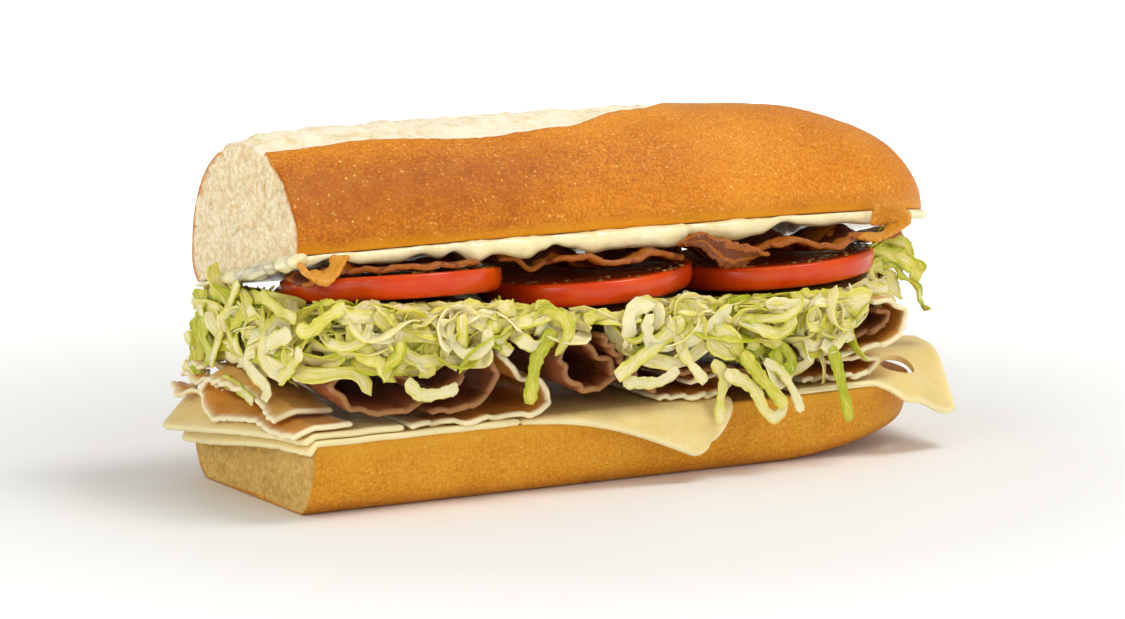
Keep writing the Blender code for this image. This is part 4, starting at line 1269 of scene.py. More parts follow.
@dataclass
class Mayonnaise(Part):
    """The spread under the upper half, hanging in lobes along its front."""

    roll: UpperRoll
    depth: float = 1.2
    tip_bulge: float = 2.0
    cut_bulge: float = 4.2
    sag: float = 2.6
    drops: Stops = ((-30.0, 2.6), (-24.0, 3.3), (-16.0, 2.7), (-8.0, 3.5), (0.5, 2.7), (8.0, 3.2), (15.5, 2.3))
    step: float = 0.7
    lower_edge: Stops = (
        (-97, 67.6), (-90, 69.2), (-81, 67.0), (-72, 66.4), (-65, 67.9), (-60, 66.5), (-56, 67.8), (-50, 64.8),
        (-43.5, 66.4), (-34, 64.7), (-29, 66.4), (-25, 67.5), (-20, 66.4), (-14, 64.6), (-9, 65.1), (0, 65.2),
        (10, 64.6), (14, 64.9), (17, 67.3), (24, 66.0), (32, 65.0), (40, 65.9), (49, 68.6), (55, 67.4),
        (62, 66.8), (69, 67.3), (79, 66.6), (86, 67.5), (94, 67.8))

    def rim(self, x: float) -> tuple[float, float]:
        """How far the spread hangs and pushes out at x."""
        hang = self.roll.under_z(-36.0) - through(self.lower_edge, x) - self.depth * 0.3
        push = 0.8 + 0.32 * max(0.0, hang - 2.0) + 0.3 * rough(x, 5.0, 1.0, 6.0)
        return hang, mix(push, self.tip_bulge, smooth((x - 70.0) / 35.0))

    def ring(self, x: float) -> Array:
        """The spread's outline at x."""
        edge = self.roll.size(x)[1] * (1.0 - self.roll.tuck)
        hang, push = self.rim(x)
        spread = min(1.0, edge / 12.0)
        hang *= mix(0.5, 1.0, spread)
        under = -GAP - self.depth
        profile = [(edge - 1.2, -GAP), (0.3 * edge, -GAP), (-0.5 * edge, -GAP), (-edge + 0.5, -GAP),
                   (-edge - 0.7 * push, -GAP + 0.05), (-edge - push - 0.5, -0.45 * hang),
                   (-edge - 0.75 * push, -0.85 * hang), (-edge + 0.3, -hang - 0.1),
                   (-edge + 2.5 * spread, -0.72 * hang), (-edge + 6.0 * spread, under), (0.3 * edge, under),
                   (edge - 1.4, under)]
        near_cut = smooth((self.roll.cut_x + 9.0 - x) / 9.0)
        ring = []
        for u, v in spline(profile, 64, closed=True):
            px, py, pz = self.roll.place(x, u, v)
            lump = near_cut * smooth(1.0 - abs(py + 6.0) / 26.0) * (0.75 + 0.5 * rough(py, 4.0, 2.0, 7.0))
            px -= self.cut_bulge * lump * (0.85 + 0.15 * rough(py, pz, 3.0, 3.0))
            if v < -1.0:
                pz -= 2.6 * lump
                behind = smooth((py + 24.0) / 5.0) * smooth((30.0 - py) / 6.0)
                pz -= self.sag * behind * exp(-((px + 45.0 - 0.6 * (py + 30.0)) / 9.0) ** 2)
            swirl = 0.22 * rough(px, py, pz, 4.5) * smooth((-34.0 - py) / 2.0 + 0.5)
            ring.append((px, py - abs(swirl), pz + swirl))
        return np.array(ring)

    def build(self, finish: Material) -> Piece:
        """Make the spread."""
        last = self.roll.tip_x - 4.0
        stations = list(np.arange(self.roll.cut_x + 0.2, last - 12.0, self.step))
        stations += list(np.linspace(last - 12.0, last, 30))
        rings = [self.ring(x) for x in stations]
        rings = self.end_wall(rings[0], -1.0)[::-1] + rings + self.end_wall(rings[-1], 0.6)
        shape = Shape.of(np.concatenate(rings), bands(len(rings), len(rings[0]), ends=True))
        for y, size in self.drops:
            self.drop(shape, y, size)
        return shape.piece("mayonnaise_spread", finish, Slot.MAYO, "mayo")

    def drop(self, shape: Shape, y: float, size: float) -> None:
        """Add a soft lump that swells out under the cut at y."""
        turns, levels = 28, 16
        points = []
        for i in range(levels + 1):
            a = pi * i / levels
            for k in range(turns):
                b = 2.0 * pi * k / turns
                dx, dy, dz = sin(a) * cos(b), sin(a) * sin(b), cos(a)
                swell = size * (1.0 + 0.22 * rough(dx * 3.0, y + dy * 3.0, dz * 3.0, 2.4))
                points.append((self.roll.cut_x - 0.8 + 0.9 * swell * dx, y + 1.45 * swell * dy,
                               self.roll.under_z(y + 1.45 * swell * dy) - 1.5 + 0.72 * swell * dz))
        shape.add(points, bands(levels + 1, turns, flip=True))

    def end_wall(self, ring: Array, way: float) -> list[Array]:
        """Rings that round an end of the spread, thinning it towards its middle.

        Args:
            ring: The end's outline.
            way: How far the wall swells out, in millimetres along the roll.

        Returns:
            The rings, from the end outwards.
        """
        back, front_most = int(np.argmax(ring[:, 1])), int(np.argmin(ring[:, 1]))
        first, last = sorted((back, front_most))
        one, two = ring[first:last + 1], np.concatenate([ring[last:], ring[:first + 1]])
        sides = [side[np.argsort(side[:, 1])] for side in (one, two)]
        middle = 0.5 * sum(np.interp(ring[:, 1], side[:, 1], side[:, 2]) for side in sides)
        rings = []
        for share in (0.2, 0.5, 0.8, 0.97):
            moved = ring.copy()
            moved[:, 2] += (middle - ring[:, 2]) * share
            moved[:, 0] += way * sqrt(1.0 - (1.0 - share) ** 2)
            rings.append(moved)
        return rings


def grid_of(point: Callable[[float, float], Point], rows: int, cols: int) -> Array:
    """A grid of points over the two directions of a surface."""
    return np.array([[point(i / (rows - 1), j / (cols - 1)) for j in range(cols)] for i in range(rows)], float)


@dataclass
class CheeseSlices:
    """The four thin slices of cheese on the lower half."""

    base: LowerRoll
    thick: float = 1.6
    fold_y: float = -37.6
    bend: float = 4.8
    turn: float = radians(84.0)
    scoop: float = 2.6
    end_rise: float = 5.4
    end_belly: float = 3.2
    eye_centre: tuple[float, float] = (90.4, -28.4)
    eye_radius: float = 5.0

    @property
    def level(self) -> float:
        """Height of the lowest slice's middle."""
        return self.base.height + GAP + 0.5 * self.thick

    def at_cut(self, plan: Pairs, level: float, droop: tuple[float, float]) -> Array:
        """A slice at the cut end, sagging where it sticks out.

        Args:
            plan: Its corners: front left, front right, back left, back right.
            level: The height of its middle.
            droop: The fall for each millimetre past the cut, and what the back adds.

        Returns:
            The middle surface.
        """
        front_left, front_right, back_left, back_right = plan
        cut = self.base.cut_x

        def point(u: float, v: float) -> Point:
            """One point of the slice."""
            left = mix(front_left[0], back_left[0], v)
            right = mix(front_right[0], back_right[0], v)
            x = mix(left, cut - 1.2, u / 0.25) if u < 0.25 else mix(cut - 1.2, right, (u - 0.25) / 0.75)
            y = mix(mix(front_left[1], front_right[1], u), mix(back_left[1], back_right[1], u), v)
            beyond = max(0.0, cut - 1.7 - x)
            ripple = 0.22 * rough(x, y, 2.0, 9.0) * smooth((-30.0 - y) / 6.0)
            torn = 1.2 * rough(y, 3.0, level, 2.2) * (1.0 - u) ** 6
            z = level - beyond * (droop[0] + droop[1] * smooth((y + 40.0) / 70.0)) + ripple
            return x + torn + 0.3 * rough(y, 1.0, 4.0, 7.0), y, z
        return grid_of(point, 64, 50)

    def flap(self) -> Array:
        """The middle slice, whose front corner folds down over the crust."""
        tip, left = np.array([22.5, -56.5]), np.array([-38.5, -39.6])
        right, back = np.array([46.0, 33.0]), np.array([-38.5, 33.0])

        def point(u: float, v: float) -> Point:
            """One point of the slice."""
            front = mix(left, tip, u) + np.array([0.0, self.scoop * sin(pi * min(1.0, u / 0.85))])
            rear = mix(back, right, u)
            inside = front[1] + (self.fold_y + 2.0 - front[1]) * min(1.0, v / 0.7)
            share = mix((inside - front[1]) / (rear[1] - front[1]), 1.0, max(0.0, (v - 0.7) / 0.3))
            plan = mix(front, rear, share)
            corner = max(0.0, 1.0 - hypot((1.0 - u) * 60.0, v * 20.0) / 12.0)
            x, y = plan + np.array([-4.5, 5.5]) * corner ** 2
            past = self.fold_y - y
            if past <= 0.0:
                return x, y, self.level + 0.3 * smooth(past / -20.0) * (1.0 + rough(x, y, 0.0, 18.0))
            turn = min(past / self.bend, self.turn)
            rest = max(0.0, past - self.bend * turn)
            yy = self.fold_y - self.bend * sin(turn) - rest * cos(turn)
            zz = self.level - self.bend * (1.0 - cos(turn)) - rest * sin(turn)
            belly = smooth(rest / 8.0) * (1.0 + 0.8 * rough(x, yy, zz, 9.0))
            return x, yy - 0.6 * belly, zz
        return grid_of(point, 80, 80)

    def end_tilt(self, x: float, y: float) -> float:
        """How far the slice at the rounded end stands above its level at x, y."""
        line = through([(70.0, -40.2), (88.0, -34.2), (104.0, -26.4)], x)
        if y > line:
            slope = through([(80.0, 0.0), (90.0, 0.5), (104.0, 1.0)], x)
            return self.end_rise * tanh(slope * (y - line) / self.end_rise)
        slope = through([(56.0, 0.0), (78.0, 0.5), (88.0, 0.95), (104.0, 1.0)], x)
        return slope * (y - line)

    def at_tip(self) -> Array:
        """The slice at the rounded end, rising behind and falling in front."""
        front_left, front_right = np.array([50.0, -39.0]), np.array([104.8, -36.4])
        back_left, back_right = np.array([52.5, 30.0]), np.array([112.0, -6.0])

        def point(u: float, v: float) -> Point:
            """One point of the slice."""
            front = mix(front_left, front_right, u)
            front = front - np.array([0.0, self.end_belly * sin(pi * clamp((u - 0.42) / 0.58))])
            x, y = mix(front, mix(back_left, back_right, u), v ** 1.4)
            return x, y, self.level + self.end_tilt(x, y)
        return grid_of(point, 70, 80)

    def open_eye(self, obj: Piece) -> None:
        """Cut the round eye through a slice."""
        mesh = bpy.data.meshes.new("eye_cutter")
        bm = bmesh.new()
        bmesh.ops.create_cone(bm, cap_ends=True, segments=72, radius1=self.eye_radius * MM,
                              radius2=self.eye_radius * MM, depth=0.02)
        bm.to_mesh(mesh)
        bm.free()
        eye = bpy.data.objects.new("eye_cutter", mesh)
        eye.location = Vector((self.eye_centre[0] * MM, self.eye_centre[1] * MM, self.level * MM)) + PLACE
        bpy.context.scene.collection.objects.link(eye)
        cut = obj.modifiers.new("eye", "BOOLEAN")
        cut.operation = "DIFFERENCE"
        cut.object = eye
        whole = bpy.data.meshes.new_from_object(obj.evaluated_get(bpy.context.evaluated_depsgraph_get()))
        obj.modifiers.clear()
        obj.data = whole
        bpy.data.objects.remove(eye, do_unlink=True)

    def build(self, finish: Material) -> list[Piece]:
        """Make the slices.

        Args:
            finish: Their material.

        Returns:
            The pieces.
        """
        lower = ((-104.0, -41.8), (-41.0, -41.2), (-105.5, 31.0), (-44.0, 33.0))
        upper = ((-104.5, -41.4), (-76.0, -41.0), (-110.5, 34.5), (-76.0, 36.0))
        grids = [self.at_cut(lower, self.level, (1.0, 1.6)),
                 self.at_cut(upper, self.level + self.thick + GAP, (0.5, 0.45)), self.flap(), self.at_tip()]
        pieces = []
        for index, grid in enumerate(grids, 1):
            points, faces, values = slab(grid, self.thick)
            shape = Shape.of(points, faces, **values)
            pieces.append(shape.piece(f"cheese_slice_{index}", finish, Slot.CHEESE, f"cheese_{index}"))
        self.open_eye(pieces[-1])
        pieces[-1].data.shade_smooth()
        pieces[-1].data.set_sharp_from_angle(angle=radians(50))
        return pieces


@dataclass
class Fold:
    """A slice of meat folded about Y: an (x, z) path swept back from the front."""

    node: str
    path: Pairs
    y_from: float
    y_to: float
    taper: Point
    thick: float

    def grid(self) -> Array:
        """The slice's middle surface."""
        run = spline(self.path, FOLD_ROWS)
        scale, drawn_x, drawn_z = self.taper
        rows = []
        for k, (px, pz) in enumerate(run):
            row = []
            for j in range(FOLD_COLS):
                v = j / (FOLD_COLS - 1)
                size = mix(1.0, scale, smooth(v * 1.2))
                x = drawn_x + (px - drawn_x) * size
                z = drawn_z + (pz - drawn_z) * size
                edge = 1.0 - smooth(v * 5.0)
                front = self.y_from + 1.1 * sin(0.35 * x + 0.22 * z) + 0.9 * rough(k * 0.7, 0.0, 6.0, 2.2)
                y = mix(front, self.y_to, v)
                shake = 0.45 * rough(x, y, z, 5.0) + 0.22 * rough(x, y, z, 1.8)
                shake += 0.55 * edge * sin(0.55 * k + 1.5 * rough(k * 0.1, 2.0, 4.0, 1.0))
                row.append((x + shake, y, z + 0.7 * shake))
            rows.append(row)
        return np.array(rows)

    def thickness(self) -> Array:
        """The slice's thickness over the grid."""
        grid = [[self.thick * (1.0 + 0.16 * rough(i * 0.9, j * 0.9, len(self.path), 9.0))
                 for j in range(FOLD_COLS)] for i in range(FOLD_ROWS)]
        return np.array(grid)

    def build(self, finish: Material, slot: Slot) -> Piece:
        """Make the slice.

        Args:
            finish: Its material.
            slot: The record's slot.

        Returns:
            The piece.
        """
        points, faces, values = slab(self.grid(), self.thickness())
        name = self.node.replace("_", "_slice_")
        return Shape.of(points, faces, **values).piece(name, finish, slot, self.node)


@dataclass
class CutEndFold(Fold):
    """The turkey slice folded at the cut end, its open fold to the front."""

    cheese_level: float = 21.15
    cheese_thick: float = 1.6
    rows: int = 46
    cols: int = 110

    def grid(self) -> Array:
        """The slice's middle surface."""
        cheese = self.cheese_thick
        level = self.cheese_level + cheese + 3 * GAP + 0.5 * cheese + 0.5 * self.thick + 0.4 - GAP
        section = spline([(-41.0, 0.0), (-21.0, 0.0), (0.0, 0.0), (10.0, 0.4), (16.0, 4.6), (12.5, 8.8),
                          (5.0, 10.0), (-8.0, 7.8), (-20.0, 4.8), (-31.0, 3.4)], self.cols)
        rows = []
        for i in range(self.rows):
            u = i / (self.rows - 1)
            row = []
            for y, up in section:
                torn = 1.1 * rough(y, up, 3.0, 2.4) * (1.0 - u) ** 6
                x = mix(-107.0, -90.5, u) - 1.2 * sin(0.16 * y + 0.6) + torn
                beyond = max(0.0, -101.7 - x)
                z = level - beyond * (0.38 + 0.40 * smooth((y + 40.0) / 70.0)) + up * mix(1.0, 0.62, u)
                row.append((x, y + 0.6 * sin(x * 0.4), z + 0.12 * rough(x, y, up, 4.0)))
            rows.append(row)
        return np.array(rows)

    def thickness(self) -> Array:
        """The slice's thickness over the grid."""
        return np.full((self.rows, self.cols), self.thick)


@dataclass
class Meats:
    """The folded slices of turkey and roast beef."""

    turkey_thick: float = 1.4
    beef_thick: float = 1.5

    def turkey(self) -> list[Fold]:
        """The turkey slices."""
        folds = (
            ("turkey_2", ((-73.0, 23.15), (-55.0, 23.1), (-38.0, 23.2), (-31.6, 24.6), (-30.2, 28.2),
                          (-34.0, 31.4), (-40.0, 33.8), (-44.5, 37.5), (-46.0, 41.6)),
             -40.5, 33.0, (1.0, -45.0, 24.0)),
            ("turkey_3", ((5.0, 23.4), (14.0, 23.2), (24.0, 23.4), (27.5, 25.6), (24.0, 28.2), (14.0, 27.6)),
             -39.5, 30.0, (1.0, 15.0, 24.0)),
            ("turkey_4", ((50.5, 30.6), (63.0, 31.0), (75.0, 31.4), (83.5, 34.2), (86.8, 39.0), (84.0, 43.2),
                          (75.0, 45.0)), -38.5, 20.0, (0.94, 70.0, 34.0)),
            ("turkey_5", ((53.0, 23.6), (66.0, 23.6), (75.5, 24.0), (79.0, 26.3), (74.5, 28.6), (62.0, 28.4)),
             -36.0, 24.0, (1.0, 65.0, 24.0)),
        )
        first = CutEndFold("turkey_1", (), 0.0, 0.0, (1.0, 0.0, 0.0), self.turkey_thick)
        return [first] + [Fold(*fold, self.turkey_thick) for fold in folds]

    def beef(self) -> list[Fold]:
        """The roast beef slices."""
        folds = (
            ("beef_1", ((-67.0, 30.0), (-76.0, 27.6), (-87.5, 28.6), (-94.5, 32.4), (-96.0, 36.4),
                        (-90.5, 39.4), (-82.0, 38.8), (-73.5, 35.2), (-70.0, 33.2)),
             -40.5, 30.0, (0.5, -74.0, 33.5)),
            ("beef_2", ((-66.0, 26.2), (-58.0, 27.0), (-51.0, 28.5), (-48.0, 33.0), (-49.2, 39.5),
                        (-52.0, 42.0), (-55.5, 38.0), (-60.0, 33.6), (-64.0, 31.8)),
             -41.0, 32.0, (0.9, -54.0, 33.0)),
            ("beef_3", ((-27.6, 42.6), (-27.4, 36.0), (-24.0, 30.6), (-17.0, 28.0), (-11.0, 30.6),
                        (-12.4, 35.0), (-18.0, 39.0), (-20.6, 42.4)), -41.0, 32.0, (0.95, -19.0, 34.0)),
            ("beef_4", ((-15.6, 42.6), (-10.6, 37.4), (-6.6, 32.0), (-2.0, 28.2), (2.0, 26.4)),
             -41.5, 32.0, (1.0, -8.0, 33.0)),
            ("beef_5", ((6.0, 31.0), (20.0, 30.4), (32.0, 29.0), (40.0, 26.6), (46.0, 24.4)),
             -42.0, 32.0, (1.0, 25.0, 29.0)),
            ("beef_6", ((56.0, 42.0), (62.0, 37.0), (70.0, 34.6), (78.0, 36.4), (81.5, 39.6), (78.0, 42.0)),
             -36.0, 18.0, (0.94, 70.0, 37.0)),
        )
        return [Fold(*fold, self.beef_thick) for fold in folds]

    def frills(self, finish: Material) -> Piece:
        """Make the ragged rims that hang out behind the fold at the cut.

        Args:
            finish: The turkey's material.

        Returns:
            The piece.
        """
        rims = (((-99, 4, 30.0), (-102, 12, 30.3), (-103.5, 22, 29.2), (-102, 34, 30.0)),
                ((-99, 14, 26.6), (-103, 20, 26.0), (-105.5, 28, 25.0), (-104, 37, 25.6)),
                ((-98, 10, 33.2), (-101, 16, 33.6), (-102, 27, 32.8), (-100, 35, 33.2)))
        shape = Shape()
        for index, rim in enumerate(rims):
            path = spline(rim, 60)
            width = 4.6 + 1.0 * np.sin(np.linspace(0.0, 9.0, 60) + index)
            tilt = np.full(60, 0.15 * index - 0.2)
            points, faces, _, across = ribbon(path, width, 1.1, tilt, UP, -0.05, 1.1, 2.0 * index, 0.3, 0.2)
            shape.add(points, faces, edge=np.abs(across) ** 0.5, under=np.zeros(len(points)), across=across)
        return shape.piece("turkey_frills", finish, Slot.TURKEY, "turkey_1")

    def build(self, turkey: Material, beef: Material) -> None:
        """Make every slice.

        Args:
            turkey: The turkey's material.
            beef: The roast beef's material.
        """
        for fold in self.turkey():
            fold.build(turkey, Slot.TURKEY)
        self.frills(turkey)
        for fold in self.beef():
            fold.build(beef, Slot.BEEF)


@dataclass
class TomatoSlice(Part):
    """One tilted slice of tomato."""

    index: int
    x: float
    y: float
    z: float
    front_rise: float
    right_rise: float
    radius: float = 30.0
    thick: float = 6.7
    edge: float = 1.4

    def level(self, x: float, y: float) -> float:
        """Height of the slice's middle at x, y."""
        return (self.z + (x - self.x) * tan(radians(self.right_rise))
                - (y - self.y) * tan(radians(self.front_rise)))

    def build(self, finish: Material) -> Piece:
        """Make the slice."""
        half = 0.5 * self.thick
        rim = [(-0.9, half - 0.08), (-0.15, half - 0.55), (0.05, 0.6), (-0.05, -0.6), (-0.5, -half + 1.1),
               (-1.7, -half + 0.15)]
        outline = [(0.02, half), (9.0, half), (18.0, half), (26.0, half - 0.03)]
        outline += [(self.radius + past, h) for past, h in rim]
        outline += [(26.0, -half), (18.0, -half), (9.0, -half), (0.02, -half)]
        profile = spline(outline, 64)
        turns = 180
        points, flesh = [], []
        for r, h in profile:
            for k in range(turns):
                a = 2.0 * pi * k / turns
                wobble = 1.0 + 0.012 * sin(3 * a + self.index)
                dx, dy = r * wobble * cos(a), r * wobble * sin(a)
                pit = 0.18 * rough(dx, dy, self.index, 3.0) * smooth((self.radius - 3.0 - r) / 2.0)
                x, y = self.x + dx, self.y + dy
                points.append((x, y, self.level(x, y) + h + pit))
                flesh.append(smooth((abs(h) - half + 0.35) / 0.25) * smooth((self.radius - 0.9 - r) / 0.5))
        shape = Shape.of(points, bands(len(profile), turns, flip=True, ends=True), flesh=flesh)
        return shape.piece(f"tomato_slice_{self.index}", finish, Slot.TOMATO, f"tomato_{self.index}")


@dataclass
class Herbs(Part):
    """Dried herb flakes lying on the fronts of the tomato slices."""

    slices: Sequence[TomatoSlice]
    seed: int = 5
    a_slice: int = 34

    def flake(self, size: float, rng: random.Random) -> tuple[list[Point], Faces]:
        """One small curled flake.

        Args:
            size: Half its length.
            rng: The source of its shape.

        Returns:
            Its points and faces.
        """
        turn, bend = rng.uniform(0.0, 2.0 * pi), rng.uniform(-0.3, 0.5)
        top, low = [], []
        for k in range(8):
            a = 2.0 * pi * k / 8
            long = size * cos(a) * rng.uniform(0.8, 1.1)
            wide = 0.42 * size * sin(a) * rng.uniform(0.7, 1.2)
            x = long * cos(turn) - wide * sin(turn)
            y = long * sin(turn) + wide * cos(turn)
            z = bend * abs(long) + 0.12
            top.append((x, y, z + 0.12))
            low.append((x, y, z - 0.12))
        faces: Faces = [tuple(range(8)), tuple(range(15, 7, -1))]
        faces += [(k, k + 8, (k + 1) % 8 + 8, (k + 1) % 8) for k in range(8)]
        return top + low, faces

    def build(self, finish: Material) -> Piece:
        """Make all flakes."""
        rng = random.Random(self.seed)
        shape = Shape()
        for tomato in self.slices:
            for _ in range(self.a_slice):
                a = radians(rng.uniform(-168.0, -12.0))
                r = tomato.radius - 1.6 - 7.0 * rng.random() ** 1.6
                x, y = tomato.x + r * cos(a), tomato.y + r * sin(a)
                points, faces = self.flake(rng.uniform(0.35, 1.25), rng)
                z = tomato.level(x, y) + 0.5 * tomato.thick
                kind = rng.random()
                shape.add([(x + p[0], y + p[1], z + p[2]) for p in points], faces, kind=[kind] * len(points))
        nodes = [f"tomato_{tomato.index}" for tomato in self.slices]
        return shape.piece("herb_flakes", finish, Slot.TOMATO, *nodes)


@dataclass
class BaconStrip:
    """One wavy strip lying along the roll on the tomato slices."""

    index: int
    x_from: float
    x_to: float
    y_to: float
    phase: float
    waves: float
    thick: float = 1.7
    inset: float = 1.2
    rows: int = 170
    cols: int = 17

    def front(self, x: float, slices: Sequence[TomatoSlice]) -> float:
        """Y of the front edge at x, just inside the tomato rims."""
        rims = [t.y - sqrt(max(0.0, t.radius ** 2 - (x - t.x) ** 2)) for t in slices]
        return min(min(rims), -30.5) + self.inset

    def height(self, x: float, y: float, slices: Sequence[TomatoSlice], roll: UpperRoll) -> float:
        """Height of the strip's middle at x, y, between tomato and spread."""
        gap = 0.5 * self.thick + GAP + 0.05
        faces = []
        for tomato in slices:
            away = hypot(x - tomato.x, y - tomato.y) - tomato.radius
            rise = clamp(tomato.level(x, y) - tomato.z, -6.0, 6.0)
            faces.append(tomato.z + 0.5 * tomato.thick + rise + 0.4 - 3.0 * smooth((away - 2.5) / 6.0))
        low = max(faces) + gap
        roof = roll.under_z(max(y, roll.edge_y)) - 1.8 - 1.6 * smooth((x - 66.0) / 14.0)
        if y < -26.0:
            roof -= 3.6 * smooth((-26.0 - y) / 5.0)
        wave = 0.5 + 0.5 * sin(x / self.waves + self.phase + 0.04 * (y + 27.0))
        return mix(low, max(low, roof - gap), wave)

    def build(self, finish: Material, slices: Sequence[TomatoSlice], roll: UpperRoll) -> Piece:
        """Make the strip.

        Args:
            finish: Its material.
            slices: The tomato slices that it lies on.
            roll: The upper half above it.

        Returns:
            The piece.
        """
        rows = []
        for i in range(self.rows):
            along = i / (self.rows - 1)
            x = mix(self.x_from, self.x_to, along)
            row = []
            for j in range(self.cols):
                v = j / (self.cols - 1)
                y = mix(self.front(x, slices), self.y_to, v) + 0.8 * sin(x / 7.0 + self.index) * (1.0 - v)
                y += 0.8 * rough(x, 2.0, self.index, 4.0) * (1.0 - v) ** 2
                px = x + 0.5 * along * (y + 38.0)
                z = self.height(px, y, slices, roll)
                ruffle = 0.3 * rough(x, y, self.index, 2.0)
                ruffle += 0.35 * (1.0 - v) ** 3 * sin(x / 1.5 + 2.0 * rough(x, 0.0, 1.0, 9.0))
                row.append((px, y, z + ruffle))
            rows.append(row)
        points, faces, values = slab(np.array(rows), self.thick * 0.86)
        shape = Shape.of(points, faces, fat=np.zeros(len(points)), **values)
        return shape.piece(f"bacon_strip_{self.index}", finish, Slot.BACON, f"bacon_{self.index}")


@dataclass
class BaconCurl(Part):
    """The crisp curled end of a strip, fatty and amber."""

    name: str
    path: Sequence[Point]
    width: float
    fat: float
    node: str
    twist: float = 0.0
    frill: float = 0.5
    steps: int = 70

    def build(self, finish: Material) -> Piece:
        """Make the curl."""
        path = spline(self.path, self.steps)
        width = self.width * np.array([0.75 + 0.3 * sin(pi * k / (self.steps - 1))
                                       + 0.12 * rough(k, 0.0, 0.0, 6.0) for k in range(self.steps)])
        tilt = np.linspace(0.0, self.twist, self.steps)
        points, faces, _, across = ribbon(path, width, 1.2, tilt, UP, 0.06, self.frill, 0.4, 0.2, 0.14)
        shape = Shape.of(points, faces, fat=np.full(len(points), self.fat), across=across,
                         edge=np.abs(across) ** 3, under=np.zeros(len(points)))
        return shape.piece(self.name, finish, Slot.BACON, self.node)


@dataclass
class Strip:
    """One shred of lettuce."""

    path: Array
    width: float
    tint: float
    tilt: float = 0.0
    twist: float = 0.0
    first: Point = (0.0, -1.0, 0.0)
    cup: float = 0.05
    frill: float = 0.25
    thick: float = 0.5
    edge_tint: float = 0.12
    phase: float = 0.0

    def body(self, count: int) -> tuple[Array, Faces, dict[str, Array]]:
        """The shred's points, faces and values, with count stations along it."""
        path = resample(self.path, count)
        t = np.linspace(0.0, 1.0, count)
        ends = np.minimum(1.0, 0.72 + 0.28 * np.sqrt(np.clip(np.minimum(t, 1.0 - t) / 0.06, 0.0, 1.0)))
        waves = 0.86 + 0.10 * np.sin(7.0 * t + self.phase) + 0.07 * np.sin(17.0 * t + 2.0 * self.phase)
        width = self.width * ends * waves
        tilt = self.tilt + self.twist * (t - 0.3)
        points, faces, along, across = ribbon(path, width, self.thick, tilt, np.array(self.first), self.cup,
                                              self.frill, self.phase, 0.5 * sin(5.0 * self.phase), 0.16)
        rims = self.edge_tint * (2.0 * np.abs(across) ** 2 - 1.0)
        tint = self.tint + rims + 0.12 * np.sin(4.0 * along + self.phase)
        return points, faces, {"tint": np.clip(tint, 0.0, 1.0), "along": along, "across": across,
                               "shred": np.full(len(points), self.phase), "buried": np.zeros(len(points))}


